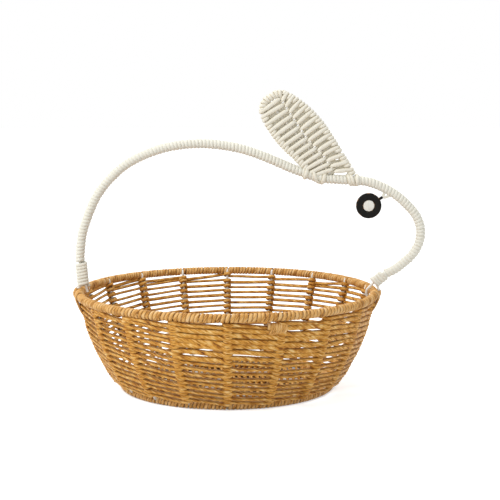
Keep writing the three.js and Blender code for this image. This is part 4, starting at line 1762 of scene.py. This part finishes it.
        for k in range(len(front)):
            wraps, sides = self.edge_wraps(front[k], turns_before(front, k), 1)
            points += wraps
            outs += sides
            spreads += [1.0] * len(wraps)
            if k == len(front) - 1:
                break
            next_wraps, next_sides = self.edge_wraps(rear[k], turns_before(rear, k), -1)
            following, _ = self.edge_wraps(front[k + 1], turns_before(front, k + 1), 1)
            there = self.crossing(points[-1], next_wraps[0], met_front[k], 1)
            back = self.crossing(next_wraps[-1], following[0], met_rear[k], -1)
            points += there[0] + next_wraps + back[0]
            outs += there[1] + next_sides + back[1]
            spreads += there[2] + [1.0] * len(next_wraps) + back[2]
        line = np.array(points)
        return Lay(line, np.array(outs), False, 1 + wander(len(line), 0.05, self.rng, 9), np.array(spreads))

    def heights(self) -> tuple[list[float], ...]:
        """Works out the heights of the woven rows.

        Returns:
            Where the front half's near passes cross the meeting line, where they leave the front
            edge, and the same two for the rear half.
        """
        met_front = [self.first_row + self.row_pitch * k for k in range(len(self.front_falls))]
        front = [met - fall for met, fall in zip(met_front, self.front_falls)]
        met_rear = [met + self.row_pitch * 0.44 for met in met_front]
        rear = [met + climb for met, climb in zip(met_rear, self.rear_climbs)]
        return met_front, front, met_rear, rear

    def tip_wraps(self) -> Lay:
        """Lays the plain turns round the wire at the ear's tip.

        Returns:
            The strand's lay.
        """
        _, front, _, rear = self.heights()
        _, _, first = self.edge(rear[-2] + 0.5, -1)
        _, _, last = self.edge(front[-1] + 0.5, 1)
        way = distances(self.outline)
        length = way[round(last)] - way[round(first)]
        turns = max(1, round(length / self.wrap_pitch))
        points, outs = [], []
        for t in np.linspace(0, turns, turns * 12 + 1):
            index = float(np.interp(way[round(first)] + length * t / turns, way, np.arange(len(way))))
            spot, out2, _ = self.outline_at(index)
            point, direction = self.wrap(spot, out2, FULL_TURN * t)
            points.append(point)
            outs.append(direction)
        return Lay(np.array(points), np.array(outs))

    def binding(self, knots: tuple[tuple[float, float, float], ...]) -> Lay:
        """Lashes a foot of the ear's wire to the wound handle.

        Args:
            knots: For some points of the strand, the turn round the handle, the place on the X
                axis, and how far above its bed it lies.

        Returns:
            The strand's lay.
        """
        turns, places, slack = (np.array(column) for column in zip(*knots))
        t = np.linspace(turns[0], turns[-1], round((turns[-1] - turns[0]) * 20) + 1)
        arch = self.handle.arch()
        top = arch[: int(np.argmax(arch[:, 0]))]
        where = np.interp(np.interp(t, turns, places), top[:, 0], distances(top))
        bed, slack_reach = self.handle.reach + 0.4, 0.7
        points, out = coil(arch, where, t, bed + slack_reach * np.interp(t, turns, slack))
        return Lay(points, out)

    def build(self, wire: Material, cream: Material) -> None:
        """Builds the ear's pieces and dresses them.

        Args:
            wire: The finish of its wires.
            cream: The finish of its strands.
        """
        clear = self.handle.reach - 0.4
        arch = self.handle.arch()
        frame_line = np.array([self.place(*spot) for spot in respaced(self.outline, 1.8)])
        frame_line = frame_line[[np.min(np.linalg.norm(arch - p, axis=1)) > clear for p in frame_line]]
        round_wire = round_section(self.wire)
        piece = strand_piece("ear_outline_wire", [lay_facing(frame_line, BACK)], round_wire, self.rng)
        dress(piece, wire, Body.HANDLE, Slot.COATED_WIRE, "ear_frame")
        tip = self.outline[self.tip]
        spine_start, tip_gap = 5.6, 3
        heights = np.linspace(spine_start, tip[0] - tip_gap, 30)
        spine = np.array([self.place(along, self.spine_out(along)) for along in heights])
        piece = strand_piece("ear_middle_wire", [lay_facing(spine, BACK)], round_wire, self.rng)
        dress(piece, wire, Body.HANDLE, Slot.COATED_WIRE, "ear_spine")
        section = Section(self.strand_width, self.strand_thickness)
        piece = strand_piece("ear_woven_strand", [self.weave(), self.tip_wraps()], section, self.rng)
        dress(piece, cream, Body.HANDLE, Slot.CREAM_STRAND, "ear_weave")
        for name, knots, node in (
            ("ear_lashing_rear", self.rear_binding, "ear_binding_rear"),
            ("ear_lashing_front", self.front_binding, "ear_binding_front"),
        ):
            section = Section(width=3.6, thickness=2.2)
            piece = strand_piece(name, [self.binding(knots)], section, self.rng)
            dress(piece, cream, Body.HANDLE, Slot.CREAM_STRAND, node)


# Eye


@dataclass
class Eye:
    """The eye: a turned black disc with a cream middle, its peg and the strand that holds it.

    Lengths are in millimetres.

    Attributes:
        handle: The handle that it hangs on.
        seat_share: The share of the way round the handle at which it hangs.
        lean: The angle from the handle's way there to the eye, in degrees.
        radius: The black disc's radius.
        centre_radius: The cream middle's radius.
        thickness: The disc's thickness.
        edge_round: The radius of the disc's rounded edges.
        bevel: The bevel round the disc's hole.
        fit: The gap between the disc and its middle.
        dome: How far the middle is raised.
        peg_radius: The peg's radius.
        peg_length: How far it stands out of the disc.
        peg_overlap: How far its ends reach into the disc and past that length.
        tie_spread: From the seat's middle to each leg of the tie.
        spin_steps: Steps in a turned piece's full turn.
        rng: The source of chance.
    """

    handle: Handle
    seat_share: float = 0.776
    lean: float = 66.98
    radius: float = 12.7
    centre_radius: float = 5.5
    thickness: float = 3.6
    edge_round: float = 0.7
    bevel: float = 0.3
    fit: float = 0.15
    dome: float = 0.5
    peg_radius: float = 1.5
    peg_length: float = 3.2
    peg_overlap: float = 0.3
    tie_spread: float = 2.6
    spin_steps: int = 72
    rng: Random = field(default_factory=lambda: Random(61))

    def __post_init__(self) -> None:
        """Works out where the eye hangs."""
        self.seat, self.way, self.out = self.handle.seat(self.seat_share, self.lean)
        low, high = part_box("eye_ring")
        self.centre = (np.array(low) + np.array(high)) / 2 / MM

    def turned(self, name: str, profile: list[tuple[float, float]]) -> Object:
        """Turns a profile round the eye's axis.

        Args:
            name: The piece's name.
            profile: Radius and depth of each point, from the back to the front.

        Returns:
            The piece's object.
        """
        work = bmesh.new()
        centre = Vector(self.centre * MM)
        made = [
            work.verts.new(centre + Vector((radius * MM, depth * MM, 0)))
            for radius, depth in profile
        ]
        edges = [work.edges.new((made[i], made[i + 1])) for i in range(len(made) - 1)]
        bmesh.ops.spin(
            work, geom=made + edges, cent=centre, axis=(0, 1, 0), angle=FULL_TURN,
            steps=self.spin_steps, use_merge=True,
        )
        bmesh.ops.remove_doubles(work, verts=work.verts, dist=1e-6)
        bmesh.ops.recalc_face_normals(work, faces=work.faces)
        mesh = bpy.data.meshes.new(name)
        work.to_mesh(mesh)
        work.free()
        return placed(name, mesh)

    def build(self, black: Material, pale: Material, cream: Material) -> None:
        """Builds the eye's pieces and dresses them.

        Args:
            black: The finish of the disc and the peg.
            pale: The finish of the middle.
            cream: The finish of the tie.
        """
        half, bevel = self.thickness / 2, self.bevel
        inner, outer, soft = self.centre_radius + self.fit, self.radius, self.edge_round
        arc = [(math.sin(a), math.cos(a)) for a in np.linspace(0, math.pi / 2, 6)]
        front = [(outer - soft + soft * s, -half + soft - soft * c) for s, c in arc]
        ring = [(inner, half - bevel), (inner + bevel, half)]
        ring += [(r, -d) for r, d in front]
        ring += [(r, d) for r, d in reversed(front)]
        ring += [(inner + bevel, -half), (inner, -half + bevel), (inner, half - bevel)]
        piece = self.turned("eye_black_ring", ring)
        dress(piece, black, Body.HANDLE, Slot.BLACK_WOOD, "eye_ring")
        rim, chamfer = self.centre_radius, 0.4
        middle = [(0.0, half - chamfer), (rim - chamfer, half - chamfer), (rim, half - 2 * chamfer)]
        middle += [(rim, -half + chamfer), (rim - chamfer, -half)]
        # The raised middle is a dome that starts a little inside the chamfer
        dome_share = 0.93
        middle += [
            (rim * (1 - t) * dome_share, -half - self.dome * (1 - (1 - t) ** 2))
            for t in np.linspace(0.05, 1, 8)
        ]
        piece = self.turned("eye_pale_middle", middle)
        dress(piece, pale, Body.HANDLE, Slot.CREAM_WOOD, "eye_centre")
        # The peg ends in a rounded nub
        full = np.array([1.0, 1.0, 1.0, 1.0, 1.02, 0.96, 0.72])
        start, end = self.radius - self.peg_overlap, self.radius + self.peg_overlap + self.peg_length
        shank = np.array([self.centre + self.out * d for d in np.linspace(start, end, len(full))])
        lay = Lay(shank, np.tile(BACK, (len(shank), 1)), False, full)
        piece = strand_piece("eye_peg_nub", [lay], round_section(self.peg_radius, sides=12), self.rng)
        dress(piece, black, Body.HANDLE, Slot.BLACK_WOOD, "eye_peg")
        section = Section(width=2.9, thickness=2.5, sides=10)
        piece = strand_piece("eye_tie_strand", [self.tie()], section, self.rng)
        dress(piece, cream, Body.HANDLE, Slot.CREAM_STRAND, "eye_tie")

    def tie(self) -> Lay:
        """Lays the strand that goes round the peg's end and up to the handle on both sides.

        Returns:
            The strand's lay.
        """
        side = np.cross(BACK, self.out)
        tip = self.radius + self.peg_overlap + self.peg_length
        knots = []
        # Each leg starts in the handle's winding, runs down to the peg and turns round its end
        for sign in (1, -1):
            leg = [
                self.seat + self.way * sign * self.tie_spread - self.out * 0.5,
                self.seat + self.way * sign * self.tie_spread * 0.9 - self.out * 5.8,
                self.centre + self.out * (tip + 2.6) + side * sign * 1.75,
                self.centre + self.out * (tip + 1.3) + side * sign * 1.1,
            ]
            knots += leg if sign > 0 else leg[::-1]
        line = respaced(smooth_line(np.array(knots), 0.5), 0.9)
        return lay_facing(line, BACK)


# Studio


@dataclass(frozen=True)
class Studio:
    """The camera at the photograph's viewing angle, a plain white floor, and soft lamps.

    Lengths are in metres.

    Attributes:
        camera_place: Where the camera stands.
        pitch: How far it looks down, in degrees.
        yaw: How far it looks to the right, in degrees.
        lens: Its focal length, in millimetres.
        daylight: The world's strength as a light.
        floor_lift: How much the floor shines for the camera, so that it comes out white.
        foot_shade: Radii between which that shine sets in, to keep the shadow at the foot.
        painted_shadow_radii: Radii between which the floor turns from the painted shadow of
            painted_shadow_tone to its own grey.
        painted_shadow_tone: The colour of the shadow painted on the floor inside the foot ring, whose
            winding hides where it ends.
        lamps: For each lamp its name, its place, its width and its power.
        aim: What the lamps point at.
    """

    camera_place: tuple[float, float, float] = (-0.0019, -1.3426, 0.3158)
    pitch: float = 7.59
    yaw: float = 1.05
    lens: float = 97.41
    daylight: float = 0.68
    floor_lift: float = 0.62
    foot_shade: tuple[float, float] = (0.084, 0.116)
    painted_shadow_radii: tuple[float, float] = (0.1035, 0.108)
    painted_shadow_tone: str = "#5A3412"
    lamps: tuple[tuple, ...] = (
        ("key_lamp", (-1.6, -1.0, 1.5), 1.1, 24.5),
        ("fill_lamp", (1.3, -1.2, 0.9), 1.4, 0.6),
        ("top_lamp", (-0.1, 0.5, 1.9), 1.2, 11.5),
    )
    aim: tuple[float, float, float] = (0.0, 0.0, 0.12)

    def build(self) -> None:
        """Builds the camera, the world, the floor and the lamps."""
        scene = bpy.context.scene
        data = bpy.data.cameras.new("camera")
        data.sensor_width = 36.0
        data.lens = self.lens
        data.clip_end = 50.0
        camera = bpy.data.objects.new("camera", data)
        camera.location = self.camera_place
        camera.rotation_euler = (math.radians(90 - self.pitch), 0.0, math.radians(-self.yaw))
        scene.collection.objects.link(camera)
        scene.camera = camera
        scene.view_settings.view_transform = "Standard"
        self.build_world(scene)
        self.build_floor(scene)
        for name, place, size, power in self.lamps:
            lamp = bpy.data.lights.new(name, "AREA")
            lamp.size = size
            lamp.energy = power
            holder = bpy.data.objects.new(name, lamp)
            holder.location = place
            facing = Vector(self.aim) - Vector(place)
            holder.rotation_euler = facing.to_track_quat("-Z", "Y").to_euler()
            scene.collection.objects.link(holder)

    def white_seen(self, tree: NodeTree) -> Node:
        """Adds a switch that is 1 for what the camera, gloss or glass sees.

        Args:
            tree: The node tree.

        Returns:
            The node whose first output is the switch.
        """
        path = add(tree, "ShaderNodeLightPath")
        seen = {0: path.outputs["Is Camera Ray"], 1: path.outputs["Is Glossy Ray"]}
        either = add(tree, "ShaderNodeMath", seen, operation="MAXIMUM")
        with_glass = {0: either, 1: path.outputs["Is Transmission Ray"]}
        return add(tree, "ShaderNodeMath", with_glass, operation="MAXIMUM")

    def build_world(self, scene: Scene) -> None:
        """Builds a world that is white to look at and gives even soft light.

        Args:
            scene: The scene that gets it.
        """
        world = bpy.data.worlds.new("studio_white")
        world.use_nodes = True
        scene.world = world
        tree = world.node_tree
        tree.nodes.clear()
        reach = {"Value": self.white_seen(tree), "To Min": self.daylight, "To Max": 1.0}
        strength = add(tree, "ShaderNodeMapRange", reach)
        light = add(tree, "ShaderNodeBackground", {"Color": (1.0, 1.0, 1.0, 1.0), "Strength": strength})
        add(tree, "ShaderNodeOutputWorld", {"Surface": light})

    def build_floor(self, scene: Scene) -> None:
        """Builds the floor, which is white to look at and keeps the object's shadow.

        Inside the foot ring a deep brown shadow is painted on it, in the shade of light that came
        through the twine, so that no white shows between the base's strands.

        Args:
            scene: The scene that gets it.
        """
        work = bmesh.new()
        bmesh.ops.create_grid(work, x_segments=1, y_segments=1, size=6.0)
        mesh = bpy.data.meshes.new("floor")
        work.to_mesh(mesh)
        work.free()
        floor = bpy.data.objects.new("floor", mesh)
        floor.location.z = -0.0002
        scene.collection.objects.link(floor)
        material, tree, shader = blank("white_studio_floor", 0.9)
        shader.inputs["Emission Color"].default_value = (1.0, 1.0, 1.0, 1.0)
        reach = {"Value": self.white_seen(tree), "To Min": 0.0, "To Max": self.floor_lift}
        lift = add(tree, "ShaderNodeMapRange", reach)
        place = add(tree, "ShaderNodeTexCoord").outputs["Object"]
        away = add(tree, "ShaderNodeVectorMath", {0: place}, operation="LENGTH").outputs["Value"]
        inner, outer = self.foot_shade
        band = {"Value": away, "From Min": inner, "From Max": outer}
        clear = add(tree, "ShaderNodeMapRange", band, interpolation_type="SMOOTHSTEP")
        lifted = add(tree, "ShaderNodeMath", {0: lift, 1: clear}, operation="MULTIPLY")
        # Painted shadow: inside the foot ring the floor's colour turns deep brown
        inner, outer = self.painted_shadow_radii
        under = add(tree, "ShaderNodeMapRange", {"Value": away, "From Min": inner, "From Max": outer})
        tones = {"Factor": under, MIX_FIRST: linear(self.painted_shadow_tone), MIX_SECOND: (0.8, 0.8, 0.8, 1.0)}
        tone = add(tree, "ShaderNodeMix", tones, data_type="RGBA")
        tree.links.new(tone.outputs[MIX_RESULT], shader.inputs["Base Color"])
        tree.links.new(lifted.outputs[0], shader.inputs["Emission Strength"])
        mesh.materials.append(material)


def main() -> None:
    """Builds the studio and then the basket, part by part."""
    logging.basicConfig(level=logging.INFO, format="%(name)s %(message)s")
    Studio().build()
    wire = PowderCoat().material()
    cream = WOUND_CREAM.material()
    wound = WOUND_TWINE.material()
    Bowl().build(wire, WALL_TWINE.material(), wound)
    handle = Handle()
    handle.build(wire, cream, wound)
    Ear(handle).build(wire, WOVEN_CREAM.material())
    eye = Eye(handle)
    centre = tuple(float(c) for c in eye.centre * MM)
    # Matt black paint, with bare wood worn through at the disc's outer edge and round its hole
    black = BrushPaintedWood(
        name="black_painted_wood", paint="#0E0D0B", thin="#171613", wood="#A98056", centre=centre,
        edges=(5.8, 12.5), wear=0.4, roughness=0.6,
    ).material()
    # Matt cream paint on the raised middle, hardly worn
    pale = BrushPaintedWood(
        name="cream_painted_wood", paint="#EFEEE7", thin="#E6E4DB", wood="#D9C7A8", centre=centre,
        edges=(5.2,), wear=0.2, roughness=0.55,
    ).material()
    eye.build(black, pale, cream)


if __name__ == "__main__":
    main()
